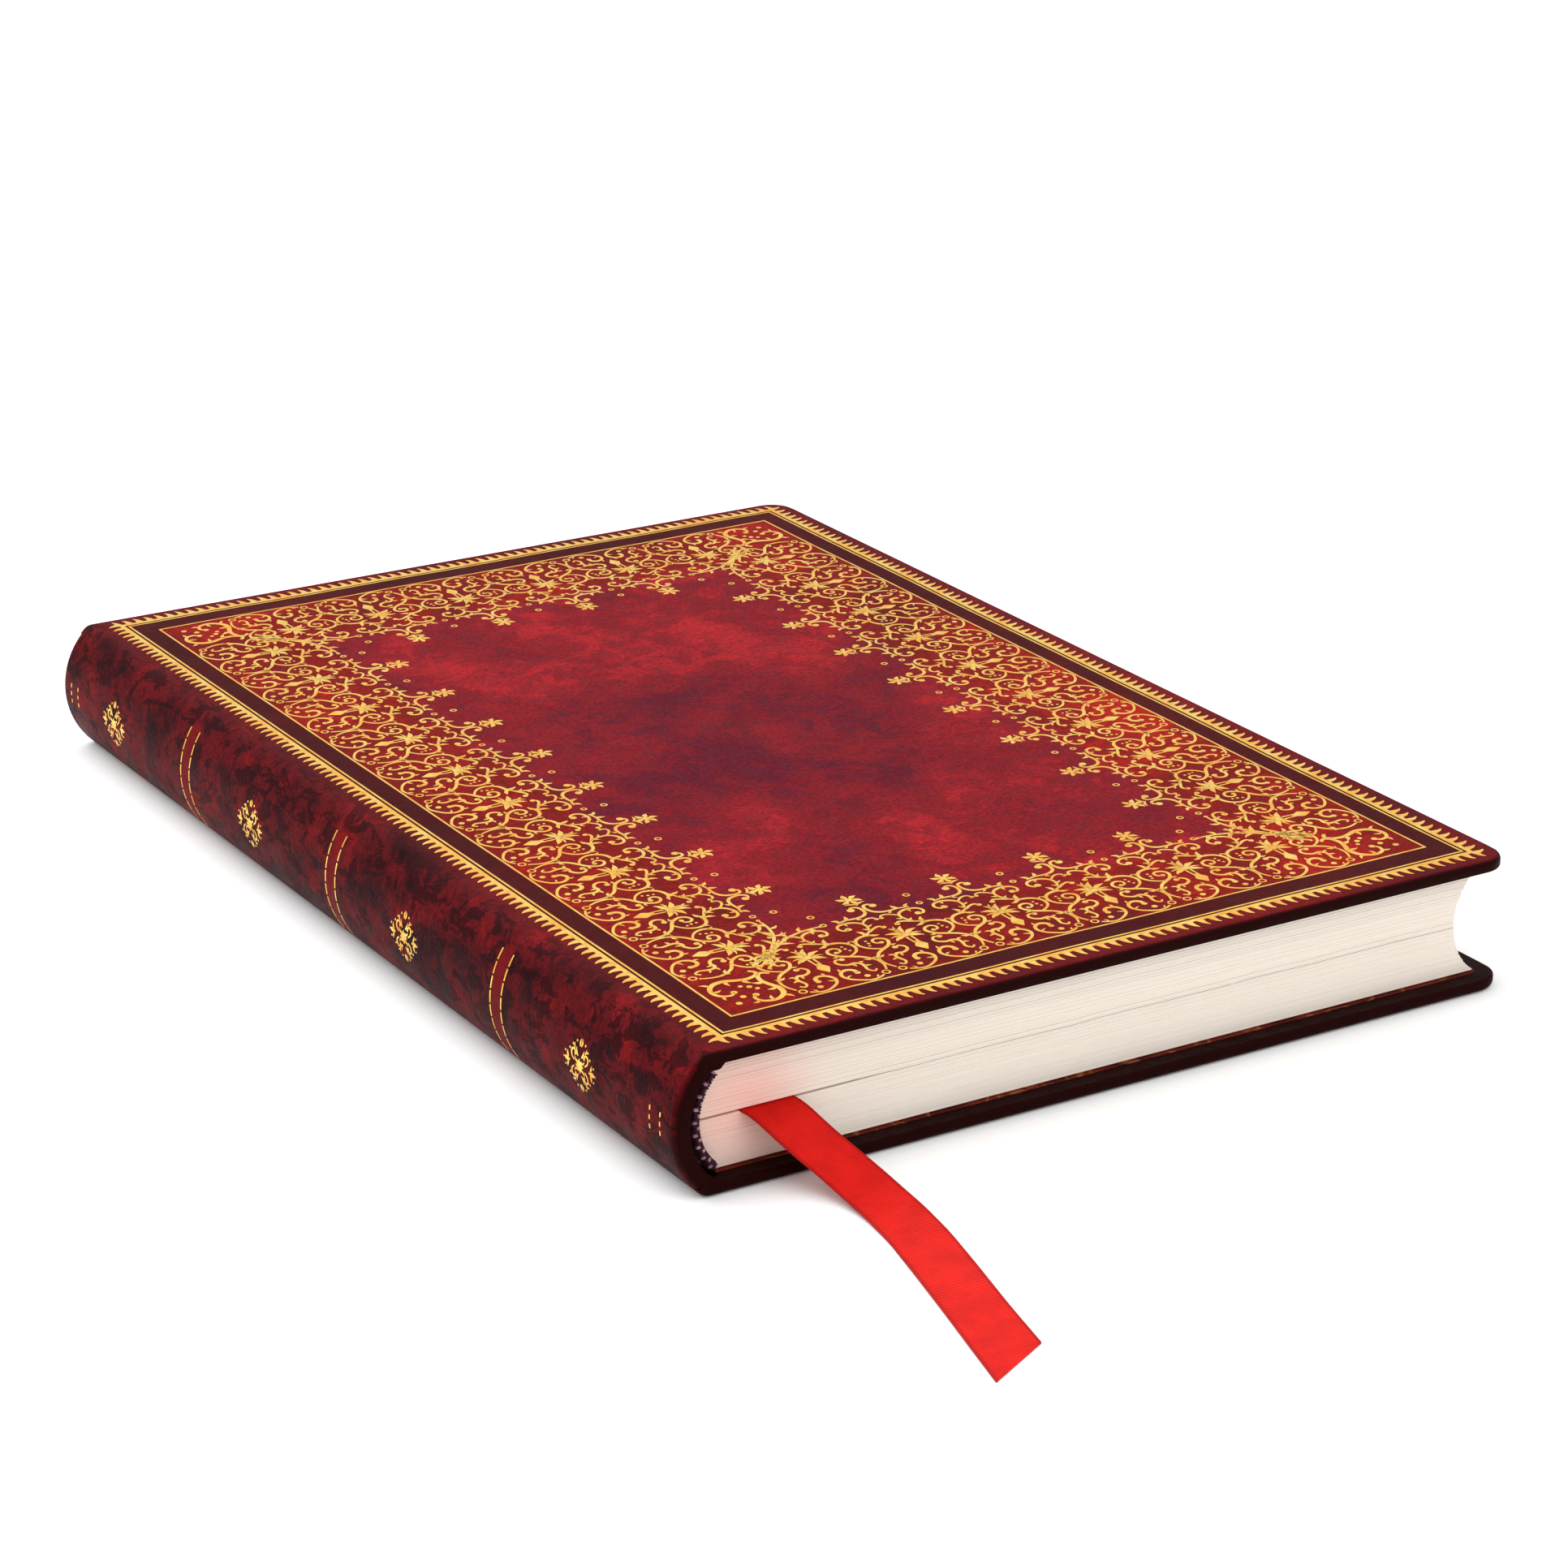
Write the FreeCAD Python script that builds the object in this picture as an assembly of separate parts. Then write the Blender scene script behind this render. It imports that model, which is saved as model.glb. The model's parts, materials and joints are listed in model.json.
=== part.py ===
import FreeCAD, Part
import math
import os

# A small prayer book bound in leather, closed and lying on its back cover.
# X runs from the spine (-) to the fore-edge (+), Y from the tail (-) to the head (+), Z is up.
# The origin is the middle of the closed book's underside. Sizes are in millimetres.

# The closed book
book_width = 124.1
book_height = 180.0
book_thickness = 18.4

# The layers of a cover, from the outside in
leather = 0.45
board = 1.1
turn_in_leather = 0.2
pastedown_paper = 0.1
corner_radius = 4.0
turn_in_width = 12.0
pastedown_margin = 2.5
joint_gap = 1.6

# The leaves: gatherings of folded sheets, sewn through their folds
lower_gatherings = 7
upper_gatherings = 8
tail_square = 3.0
fore_edge_square = 3.3
back_swell = 3.5
flyleaf_paper = 0.12
leaf_gap = 0.1
thread_diameter = 0.3
thread_clearance = 0.03
thread_depth = 0.7
thread_end_margin = 14.0

# The spine: a hollow back, with the leather turned in over its stiffener at both ends.
# A setback is the angle by which a layer stops short of the shoulder.
spine_leather_thickness = 0.7
stiffener_thickness = 0.8
headcap_turn_in = 0.5
headcap_length = 12.0
hollow_gap = 0.3
stiffener_setback = 5.5
shoulder_radius = 2.0
shoulder_width = 1.3
mull_gap = 0.15
mull_thickness = 0.2
lining_thickness = 0.4
lining_setback = 4.5
seam_gap = 0.05

# The head and tail bands
band_setback = 6.5
band_depth = 1.4
band_height = 2.1
band_rounding = 0.55

# The ribbon marker
ribbon_width = 7.5
ribbon_thickness = 0.2
ribbon_clearance = 0.05

# Places that follow from the sizes above
fore_edge_x = book_width / 2
head_y = book_height / 2
middle_z = book_thickness / 2
cover_thickness = leather + board + turn_in_leather + pastedown_paper
leaf_head_y = head_y - tail_square
leaves_bottom = cover_thickness + leaf_gap + flyleaf_paper
leaves_top = book_thickness - leaves_bottom
marker_gap = ribbon_thickness + 2 * ribbon_clearance
gathering_count = lower_gatherings + upper_gatherings
gathering = (leaves_top - leaves_bottom - marker_gap) / gathering_count
marker_z = leaves_bottom + lower_gatherings * gathering + marker_gap / 2

# The rounded back is an arc through both shoulders of the leaves, and the spine is concentric
leaves_half = middle_z - leaves_bottom
back_radius = (leaves_half ** 2 + back_swell ** 2) / (2 * back_swell)
lining_radius = back_radius + mull_gap + mull_thickness
hollow_radius = lining_radius + lining_thickness + hollow_gap
stiffener_radius = hollow_radius + headcap_turn_in
spine_radius = stiffener_radius + stiffener_thickness + spine_leather_thickness
spine_axis_x = -book_width / 2 + spine_radius
spine_end_x = spine_axis_x - math.sqrt(spine_radius ** 2 - middle_z ** 2)
hinge_x = spine_end_x + shoulder_width
board_spine_x = hinge_x + joint_gap
shoulder_x = spine_axis_x - math.sqrt(back_radius ** 2 - leaves_half ** 2)
leaf_width = fore_edge_x - fore_edge_square - shoulder_x
back_angle = math.degrees(math.asin(leaves_half / back_radius))
spine_angle = math.degrees(math.asin(middle_z / spine_radius))


def block(x_low, x_high, y_low, y_high, z_low, z_high):
    """A plain box between two corners."""
    corner = FreeCAD.Vector(x_low, y_low, z_low)
    return Part.makeBox(x_high - x_low, y_high - y_low, z_high - z_low, corner)


def cover_sheet(inset, x_low, near, far, front):
    """A sheet of a cover, rounded at its two fore-edge corners.

    It is inset from three edges of the cover, and lies between two depths below the outside.
    """
    low = book_thickness - far if front else near
    high = book_thickness - near if front else far
    y_high = head_y - inset
    sheet = block(x_low, fore_edge_x - inset, -y_high, y_high, low, high)
    corners = [e for e in sheet.Edges if is_fore_edge_corner(e, fore_edge_x - inset)]
    radius = max(corner_radius - inset, 0.5)
    return sheet.makeFillet(radius, corners)


def is_fore_edge_corner(edge, x):
    """True for an upright edge at the given x."""
    ends = [v.Point for v in edge.Vertexes]
    upright = abs(ends[0].z - ends[1].z) > 1e-6
    return upright and all(abs(p.x - x) < 1e-6 for p in ends)


def cover_leather(front):
    """The leather over one board: its outside, its three edges, and the turn-ins."""
    turn_in_depth = leather + board + turn_in_leather
    skin = cover_sheet(0, hinge_x + seam_gap, 0, turn_in_depth, front)
    hollow = cover_sheet(leather, hinge_x - 1, leather, leather + board, front)
    window = cover_sheet(turn_in_width, hinge_x - 1, leather + board, turn_in_depth + 1, front)
    joint_strip = cover_sheet(leather, hinge_x - 1, leather, turn_in_depth + 1, front)
    joint_strip = joint_strip.common(
        block(hinge_x - 1, board_spine_x, -head_y, head_y, -1, book_thickness + 1)
    )
    return skin.cut([hollow, window, joint_strip])


def cover_board(front):
    return cover_sheet(leather, board_spine_x, leather, leather + board, front)


def cover_infill(front):
    near = leather + board
    return cover_sheet(turn_in_width, board_spine_x, near, near + turn_in_leather, front)


def cover_pastedown(front):
    near = leather + board + turn_in_leather
    return cover_sheet(pastedown_margin, board_spine_x, near, near + pastedown_paper, front)


def back_x(z):
    """The rounded back of the leaves at a height."""
    return spine_axis_x - math.sqrt(back_radius ** 2 - (z - middle_z) ** 2)


def leaves(z_low, z_high):
    """Leaves of one width between two heights, with a rounded back and a hollow fore-edge."""
    z_middle = (z_low + z_high) / 2
    heights = (z_low, z_middle, z_high)
    folds = [FreeCAD.Vector(back_x(z), -leaf_head_y, z) for z in heights]
    edges = [p + FreeCAD.Vector(leaf_width, 0, 0) for p in folds]
    outline = Part.Wire([
        Part.Arc(*folds).toShape(),
        Part.makeLine(folds[2], edges[2]),
        Part.Arc(edges[2], edges[1], edges[0]).toShape(),
        Part.makeLine(edges[0], folds[0]),
    ])
    return Part.Face(outline).extrude(FreeCAD.Vector(0, 2 * leaf_head_y, 0))


def gathering_bottom(number):
    """The underside of a gathering; those past the marker stand above its gap."""
    above = marker_gap if number > lower_gatherings else 0
    return leaves_bottom + (number - 1) * gathering + above


def thread_centre(number):
    """The middle of the sewing thread's run inside a gathering's fold."""
    z = gathering_bottom(number) + gathering / 2
    return FreeCAD.Vector(back_x(z) + thread_depth, 0, z)


def sewn_gathering(number):
    """One gathering, with the tunnel in its fold that holds the thread."""
    z = gathering_bottom(number)
    centre = thread_centre(number)
    half = thread_diameter / 2 + thread_clearance
    end = leaf_head_y - thread_end_margin
    tunnel = block(centre.x - half, centre.x + half, -end, end, centre.z - half, centre.z + half)
    return leaves(z, z + gathering).cut(tunnel)


def sewing_thread(first, last):
    """The thread's long stitches, one inside the fold of each gathering."""
    end = leaf_head_y - thread_end_margin - thread_clearance
    stitches = []
    for number in range(first, last + 1):
        start = thread_centre(number) - FreeCAD.Vector(0, end, 0)
        along = FreeCAD.Vector(0, 1, 0)
        stitches.append(Part.makeCylinder(thread_diameter / 2, 2 * end, start, along))
    return Part.makeCompound(stitches)


def flyleaf(z_low):
    """A single leaf against the block, as wide as the leaves beside it."""
    z_high = z_low + flyleaf_paper
    x_high = shoulder_x + leaf_width
    return block(shoulder_x, x_high, -leaf_head_y, leaf_head_y, z_low, z_high)


def arc_strip(inner, outer, half_angle, y_low, y_high):
    """A strip bent round the spine's axis, between two radii, to both sides of the apex."""
    turn = math.radians(half_angle)

    def point(radius, angle):
        x = spine_axis_x - radius * math.cos(angle)
        return FreeCAD.Vector(x, y_low, middle_z + radius * math.sin(angle))

    outline = Part.Wire([
        Part.Arc(*[point(outer, a) for a in (-turn, 0, turn)]).toShape(),
        Part.makeLine(point(outer, turn), point(inner, turn)),
        Part.Arc(*[point(inner, a) for a in (turn, 0, -turn)]).toShape(),
        Part.makeLine(point(inner, -turn), point(outer, -turn)),
    ])
    return Part.Face(outline).extrude(FreeCAD.Vector(0, y_high - y_low, 0))


def spine_core(inset):
    """The closed book's end beyond the hinge line, drawn in by an inset all round."""
    radius = spine_radius - inset
    low = inset
    high = book_thickness - inset
    x_corner = spine_axis_x - math.sqrt(radius ** 2 - (middle_z - inset) ** 2)
    corners = [(hinge_x, low), (x_corner, low), (x_corner, high), (hinge_x, high)]
    points = [FreeCAD.Vector(x, -head_y, z) for x, z in corners]
    apex = FreeCAD.Vector(spine_axis_x - radius, -head_y, middle_z)
    outline = Part.Wire([
        Part.makeLine(points[0], points[1]),
        Part.Arc(points[1], apex, points[2]).toShape(),
        Part.makeLine(points[2], points[3]),
        Part.makeLine(points[3], points[0]),
    ])
    core = Part.Face(outline).extrude(FreeCAD.Vector(0, book_height, 0))
    shoulders = [e for e in core.Edges if is_shoulder(e, x_corner)]
    return core.makeFillet(shoulder_radius - inset, shoulders)


def is_shoulder(edge, x):
    """True for an edge along the book's height at the given x."""
    ends = [v.Point for v in edge.Vertexes]
    along = abs(ends[0].y - ends[1].y) > 1e-6
    return along and all(abs(p.x - x) < 1e-6 for p in ends)


def spine_stiffener():
    outer = stiffener_radius + stiffener_thickness
    end = head_y - spine_leather_thickness
    return arc_strip(stiffener_radius, outer, spine_angle - stiffener_setback, -end, end)


def spine_leather():
    """The leather over the spine, turned in over the stiffener's ends as headcaps."""
    skin = spine_core(0).cut(spine_core(spine_leather_thickness))
    x_seam = hinge_x - seam_gap
    beyond = block(x_seam, x_seam + 10, -head_y - 1, head_y + 1, -1, book_thickness + 1)
    skin = skin.cut(beyond)
    outer = stiffener_radius + stiffener_thickness
    angle = spine_angle - stiffener_setback
    inside = head_y - headcap_length
    head = arc_strip(hollow_radius, outer, angle, inside, head_y)
    tail = arc_strip(hollow_radius, outer, angle, -head_y, -inside)
    caps = [cap.cut(spine_stiffener()) for cap in (head, tail)]
    return skin.fuse(caps).removeSplitter()


def mull():
    """The open-weave cloth glued over the sewn back."""
    inner = back_radius + mull_gap
    end = leaf_head_y - thread_end_margin
    return arc_strip(inner, lining_radius, back_angle - lining_setback, -end, end)


def spine_lining():
    """The paper glued over the cloth."""
    outer = lining_radius + lining_thickness
    angle = back_angle - lining_setback
    return arc_strip(lining_radius, outer, angle, -leaf_head_y, leaf_head_y)


def end_band(at_head):
    """A sewn band standing on the end of the leaves, just inside the headcap."""
    y_near = leaf_head_y + mull_gap
    y_far = y_near + band_height
    y_low = y_near if at_head else -y_far
    outer = back_radius + mull_gap
    angle = back_angle - band_setback
    band = arc_strip(outer - band_depth, outer, angle, y_low, y_low + band_height)
    y_end = y_far if at_head else -y_far
    rim = [e for e in band.Edges if is_arc_at(e, y_end)]
    return band.makeFillet(band_rounding, rim)


def is_arc_at(edge, y):
    """True for a curved edge that lies wholly at the given y."""
    curved = isinstance(edge.Curve, Part.Circle)
    return curved and all(abs(v.Point.y - y) < 1e-6 for v in edge.Vertexes)


def ribbon_stations():
    """Where the marker's middle runs, and how its width is turned, from the head to its free end.

    It lies between the leaves, drops over the back cover's tail edge and runs on along the table.
    """
    resting = ribbon_thickness / 2 + 0.02
    inside = spine_axis_x - 2.6
    tail = -head_y
    leaf_tail = -leaf_head_y
    return [
        (inside, leaf_head_y - 0.5, marker_z, 0),
        (inside + 1.8, 0, marker_z, 1),
        (inside + 4.3, leaf_tail + 2, marker_z, 2),
        (inside + 4.9, leaf_tail - 0.3, marker_z, 3),
        (inside + 5.5, leaf_tail - 1.0, marker_z - 0.3, 3),
        (inside + 6.3, tail + 0.2, marker_z - 1.5, 3.5),
        (inside + 7.8, tail - 2.5, marker_z * 0.6, 3),
        (inside + 9.6, tail - 5.1, marker_z * 0.37, 1.5),
        (inside + 10.7, tail - 8.0, marker_z * 0.21, -1),
        (inside + 11.2, tail - 10.2, resting + 0.9, -3),
        (inside + 11.4, tail - 14.6, resting + 0.25, -6),
        (inside + 10.6, tail - 21.0, resting, -10),
        (inside + 8.8, tail - 29.0, resting, -13),
        (inside + 6.9, tail - 37.0, resting, -15),
        (inside + 5.0, tail - 45.0, resting, -16),
        (inside + 3.5, tail - 51.5, resting, 30),
    ]


def ribbon_marker():
    """The silk ribbon, lofted straight through its cross-sections."""
    sections = []
    for x, y, z, turn in ribbon_stations():
        angle = math.radians(turn)
        slant = math.cos(angle) if turn < 25 else math.cos(math.radians(turn + 16))
        half = FreeCAD.Vector(math.cos(angle), math.sin(angle), 0)
        half = half * (ribbon_width / 2 / max(slant, 0.6))
        centre = FreeCAD.Vector(x, y, z)
        rise = FreeCAD.Vector(0, 0, ribbon_thickness / 2)
        corners = [centre - half - rise, centre + half - rise, centre + half + rise,
                   centre - half + rise]
        sections.append(Part.makePolygon(corners + corners[:1]))
    return Part.makeLoft(sections, True, True)


def save(name, shape):
    if not shape.isValid():
        raise ValueError(name + " is not a valid shape")
    shape.exportStep("parts/" + name + ".step")


def main():
    os.makedirs("parts", exist_ok=True)
    for side, front in (("back", False), ("front", True)):
        save(side + "_cover_leather", cover_leather(front))
        save(side + "_board", cover_board(front))
        save(side + "_infill", cover_infill(front))
        save(side + "_pastedown", cover_pastedown(front))
    for number in range(1, gathering_count + 1):
        save("signature_%02d" % number, sewn_gathering(number))
    save("sewing_thread_lower", sewing_thread(1, lower_gatherings))
    save("sewing_thread_upper", sewing_thread(lower_gatherings + 1, gathering_count))
    save("back_flyleaf", flyleaf(leaves_bottom - flyleaf_paper))
    save("front_flyleaf", flyleaf(leaves_top + leaf_gap * 0.4))
    save("mull", mull())
    save("spine_lining", spine_lining())
    save("spine_stiffener", spine_stiffener())
    save("spine_leather", spine_leather())
    save("head_band", end_band(True))
    save("tail_band", end_band(False))
    save("ribbon_marker", ribbon_marker())


main()
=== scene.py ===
"""A small prayer book in mottled calf with gold-tooled borders, closed on its back cover.

Shapes are worked out in millimetres, in one shared frame, and become metres when
their mesh is made. X runs from the spine to the fore-edge, Y from the tail to the head, Z is up.
"""
import json
import math

import bpy
import numpy as np
from mathutils import Matrix, Vector


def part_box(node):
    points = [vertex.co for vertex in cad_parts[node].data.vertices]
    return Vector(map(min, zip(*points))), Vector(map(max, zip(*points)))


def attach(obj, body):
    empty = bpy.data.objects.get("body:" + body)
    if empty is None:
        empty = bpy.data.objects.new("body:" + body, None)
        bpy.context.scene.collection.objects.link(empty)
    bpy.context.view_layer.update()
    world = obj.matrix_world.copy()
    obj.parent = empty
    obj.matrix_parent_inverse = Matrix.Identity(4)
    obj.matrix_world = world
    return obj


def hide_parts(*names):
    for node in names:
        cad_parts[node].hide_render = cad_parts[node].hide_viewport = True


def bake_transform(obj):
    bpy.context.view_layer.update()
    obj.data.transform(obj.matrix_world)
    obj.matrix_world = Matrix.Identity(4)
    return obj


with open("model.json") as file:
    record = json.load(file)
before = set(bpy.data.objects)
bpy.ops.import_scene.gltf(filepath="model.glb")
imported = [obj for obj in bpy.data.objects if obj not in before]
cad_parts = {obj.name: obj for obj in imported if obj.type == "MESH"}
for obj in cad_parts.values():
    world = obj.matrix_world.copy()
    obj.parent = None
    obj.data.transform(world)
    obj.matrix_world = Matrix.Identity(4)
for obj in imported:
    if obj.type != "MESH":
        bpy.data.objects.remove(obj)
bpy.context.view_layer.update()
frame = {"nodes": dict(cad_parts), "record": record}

MM = 0.001


def corners(node):
    """The lowest and highest corner of a node, in millimetres."""
    low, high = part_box(node)
    return np.array(low) / MM, np.array(high) / MM


# ---------------------------------------------------------------- sizes taken from the frame

COVER_LOW, COVER_HIGH = corners("front_cover_leather")
THICKNESS = COVER_HIGH[2]
MIDDLE_Z = THICKNESS / 2
HEAD_Y = COVER_HIGH[1]
FORE_X = COVER_HIGH[0]
BOARD_X = corners("front_board")[0][0]
COVER_DEPTH = THICKNESS - COVER_LOW[2]
CORNER_RADIUS = 4.0

LEAF_LOW, LEAF_HIGH = corners("signature_01")
LEAVES_BOTTOM = LEAF_LOW[2]
LEAVES_TOP = corners("signature_15")[1][2]
LEAF_END_Y = LEAF_HIGH[1]
BACK_APEX_X = corners("signature_08")[0][0]
LEAF_WIDTH = corners("signature_08")[1][0] - BACK_APEX_X
BACK_SWELL = 3.5
LEAVES_HALF = MIDDLE_Z - LEAVES_BOTTOM
BACK_RADIUS = (LEAVES_HALF ** 2 + BACK_SWELL ** 2) / (2 * BACK_SWELL)
SPINE_X = BACK_APEX_X + BACK_RADIUS
SPINE_RADIUS = SPINE_X - corners("spine_leather")[0][0]

# The shoulder: a small arc between a cover's flat leather and the spine's
SHOULDER_RADIUS = 2.0
SHOULDER_Z = MIDDLE_Z - SHOULDER_RADIUS
TURN_END = math.asin(SHOULDER_Z / (SPINE_RADIUS - SHOULDER_RADIUS))
FLAT_END = SPINE_X - (SPINE_RADIUS - SHOULDER_RADIUS) * math.cos(TURN_END)
SHOULDER_ARC = SHOULDER_RADIUS * (math.pi / 2 - TURN_END)
SEAM_ANGLE = math.radians(42)
MARKER_Z = (corners("signature_07")[1][2] + corners("signature_08")[0][2]) / 2

# The turned-in lip at head and tail, which hides the end of the stiffener
LIP_Y = corners("spine_stiffener")[1][1] + 0.1
LIP_DEPTH = 2.6
BAND_CORE, BAND_STITCHES = 0.7, 34
RIBBON_WIDTH, RIBBON_THICKNESS = 7.5, 0.2

# The gold: its lower and upper face above the leather, and how heavily its lines are drawn
GOLD_RISE = (-0.04, 0.03)
WEIGHT = 1.2


# ---------------------------------------------------------------- meshes

def grid_faces(rows, columns):
    """The four-sided faces of a grid of points numbered row by row."""
    row, column = np.meshgrid(np.arange(rows - 1), np.arange(columns - 1), indexing="ij")
    first = (row * columns + column).reshape(-1)
    return np.stack([first, first + 1, first + columns + 1, first + columns], 1)


def facing_out(points, faces):
    """The faces, turned over if the closed mesh they make encloses a negative volume."""
    a, b, c = (points[faces[:, k]] for k in range(3))
    volume = np.einsum("ij,ij->i", a, np.cross(b, c)).sum()
    if faces.shape[1] == 4:
        d = points[faces[:, 3]]
        volume += np.einsum("ij,ij->i", a, np.cross(c, d)).sum()
    return faces[:, ::-1] if volume < 0 else faces


def closed_sheet(upper, lower):
    """A sheet between two grids of points of one size, closed round its rim."""
    rows, columns = upper.shape[:2]
    count = rows * columns
    number = np.arange(count).reshape(rows, columns)
    rim = np.concatenate([number[0, :-1], number[:-1, -1], number[-1, :0:-1], number[:0:-1, 0]])
    after = np.roll(rim, -1)
    top = grid_faces(rows, columns)
    walls = np.stack([after, rim, rim + count, after + count], 1)
    faces = np.concatenate([top, top[:, ::-1] + count, walls])
    points = np.concatenate([upper.reshape(-1, 3), lower.reshape(-1, 3)])
    return points, facing_out(points, faces)


def joined(parts):
    """Several meshes of four-sided faces as one."""
    offsets = np.cumsum([0] + [len(points) for points, faces in parts])
    points = np.concatenate([points for points, faces in parts])
    faces = np.concatenate([faces + offset for (p, faces), offset in zip(parts, offsets)])
    return points, faces


def add_piece(name, shape, material, smooth=True, **attributes):
    """Makes a mesh object from points in millimetres, with a value per point per attribute.

    Each point's place is kept too, so that a finish stays put on a piece that bends.
    """
    points, faces = shape
    mesh = bpy.data.meshes.new(name)
    mesh.from_pydata((points * MM).tolist(), [], faces.tolist())
    if smooth:
        mesh.polygons.foreach_set("use_smooth", [True] * len(mesh.polygons))
    for attribute, values in attributes.items():
        layer = mesh.attributes.new(attribute, "FLOAT", "POINT")
        layer.data.foreach_set("value", np.asarray(values, np.float32).reshape(-1))
    kept = mesh.attributes.new("kept_place", "FLOAT_VECTOR", "POINT")
    kept.data.foreach_set("vector", (points * MM).reshape(-1).astype(np.float32))
    mesh.update()
    piece = bpy.data.objects.new(name, mesh)
    bpy.context.scene.collection.objects.link(piece)
    mesh.materials.append(material)
    return piece


def sharpen(piece, degrees=40):
    """Marks the edges that turn by more than an angle as sharp, for smooth faces between."""
    piece.data.set_sharp_from_angle(angle=math.radians(degrees))
    return piece


# ---------------------------------------------------------------- materials

class Nodes:
    """A material's or group's node tree, with short calls that add and link nodes."""

    def __init__(self, tree):
        self.tree = tree

    def add(self, kind, settings=None, **sockets):
        """A node of a kind; sockets are given as input values or as outputs to link."""
        node = self.tree.nodes.new(kind)
        for key, value in (settings or {}).items():
            setattr(node, key, value)
        for key, value in sockets.items():
            self.join(value, node.inputs[key.replace("_", " ")])
        return node

    def join(self, value, socket):
        """Sets a socket, or links it to the output that is given."""
        if isinstance(value, bpy.types.NodeSocket):
            self.tree.links.new(value, socket)
        else:
            socket.default_value = value

    def math(self, operation, a, b=0.0, c=0.0):
        """One sum of two or three values."""
        node = self.tree.nodes.new("ShaderNodeMath")
        node.operation = operation
        for value, socket in zip((a, b, c), node.inputs):
            self.join(value, socket)
        return node.outputs[0]

    def mix(self, factor, a, b, blend="MIX"):
        """A mix of two colours."""
        node = self.tree.nodes.new("ShaderNodeMix")
        node.data_type = "RGBA"
        node.blend_type = blend
        self.join(factor, node.inputs[0])
        self.join(a, node.inputs[6])
        self.join(b, node.inputs[7])
        return node.outputs[2]

    def noise(self, vector, scale, detail=4.0, roughness=0.55, distortion=0.0):
        """Cloudy noise from 0 to 1."""
        node = self.add("ShaderNodeTexNoise", Vector=vector, Scale=scale, Detail=detail,
                        Roughness=roughness, Distortion=distortion)
        return node.outputs["Fac"]

    def between(self, value, low, high, to_low=0.0, to_high=1.0):
        """A value eased from one range to another."""
        node = self.add("ShaderNodeMapRange", {"interpolation_type": "SMOOTHSTEP"}, Value=value)
        for key, number in zip(("From Min", "From Max", "To Min", "To Max"),
                               (low, high, to_low, to_high)):
            self.join(number, node.inputs[key])
        return node.outputs[0]

    def stretched(self, vector, scale, turn=0.0):
        """Coordinates scaled by three factors, after a turn about Z in degrees."""
        turned = self.add("ShaderNodeMapping", Vector=vector)
        turned.inputs["Rotation"].default_value = (0, 0, math.radians(turn))
        node = self.add("ShaderNodeMapping", Vector=turned.outputs[0])
        node.inputs["Scale"].default_value = scale
        return node.outputs[0]

    def place(self):
        """Where a point of a stiff piece is."""
        return self.add("ShaderNodeTexCoord").outputs["Object"]

    def attribute(self, name, output="Fac"):
        """A value that a piece keeps at each of its points."""
        return self.add("ShaderNodeAttribute", {"attribute_name": name}).outputs[output]

    def kept_place(self):
        """Where a point of a piece was before the piece bent."""
        return self.attribute("kept_place", "Vector")


def rgb(red, green, blue):
    """A colour as linear light, from its usual 0 to 255 values."""
    channels = [c / 255 for c in (red, green, blue)]
    linear = [c / 12.92 if c < 0.04045 else ((c + 0.055) / 1.055) ** 2.4 for c in channels]
    return (*linear, 1.0)


def new_group(name, inputs, outputs):
    """A shader node group with sockets of named kinds; returns it, its nodes, and its ends."""
    group = bpy.data.node_groups.new(name, "ShaderNodeTree")
    for sockets, side in ((inputs, "INPUT"), (outputs, "OUTPUT")):
        for socket, kind in sockets.items():
            kinds = {"float": "NodeSocketFloat", "colour": "NodeSocketColor",
                     "vector": "NodeSocketVector"}
            group.interface.new_socket(socket, in_out=side, socket_type=kinds[kind])
    nodes = Nodes(group)
    start = group.nodes.new("NodeGroupInput")
    end = group.nodes.new("NodeGroupOutput")
    return group, nodes, start.outputs, end.inputs


def new_material(name):
    """A material with its nodes and its Principled shader."""
    material = bpy.data.materials.new(name)
    material.use_nodes = True
    nodes = Nodes(material.node_tree)
    return material, nodes, material.node_tree.nodes["Principled BSDF"]


def finish(n, shader, colour, roughness, specular=0.5, bump=None):
    """Sets a material's colour, roughness, gloss, and bump of (strength, depth, height)."""
    n.join(colour, shader.inputs["Base Color"])
    n.join(roughness, shader.inputs["Roughness"])
    shader.inputs["Specular IOR Level"].default_value = specular
    if bump:
        strength, depth, height = bump
        raised = n.add("ShaderNodeBump", Strength=strength, Distance=depth, Height=height)
        n.join(raised.outputs[0], shader.inputs["Normal"])


def use_group(nodes, group, **values):
    """Places a group in a material and sets its inputs."""
    node = nodes.tree.nodes.new("ShaderNodeGroup")
    node.node_tree = group
    for key, value in values.items():
        nodes.join(value, node.inputs[key.replace("_", " ")])
    return node.outputs


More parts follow.
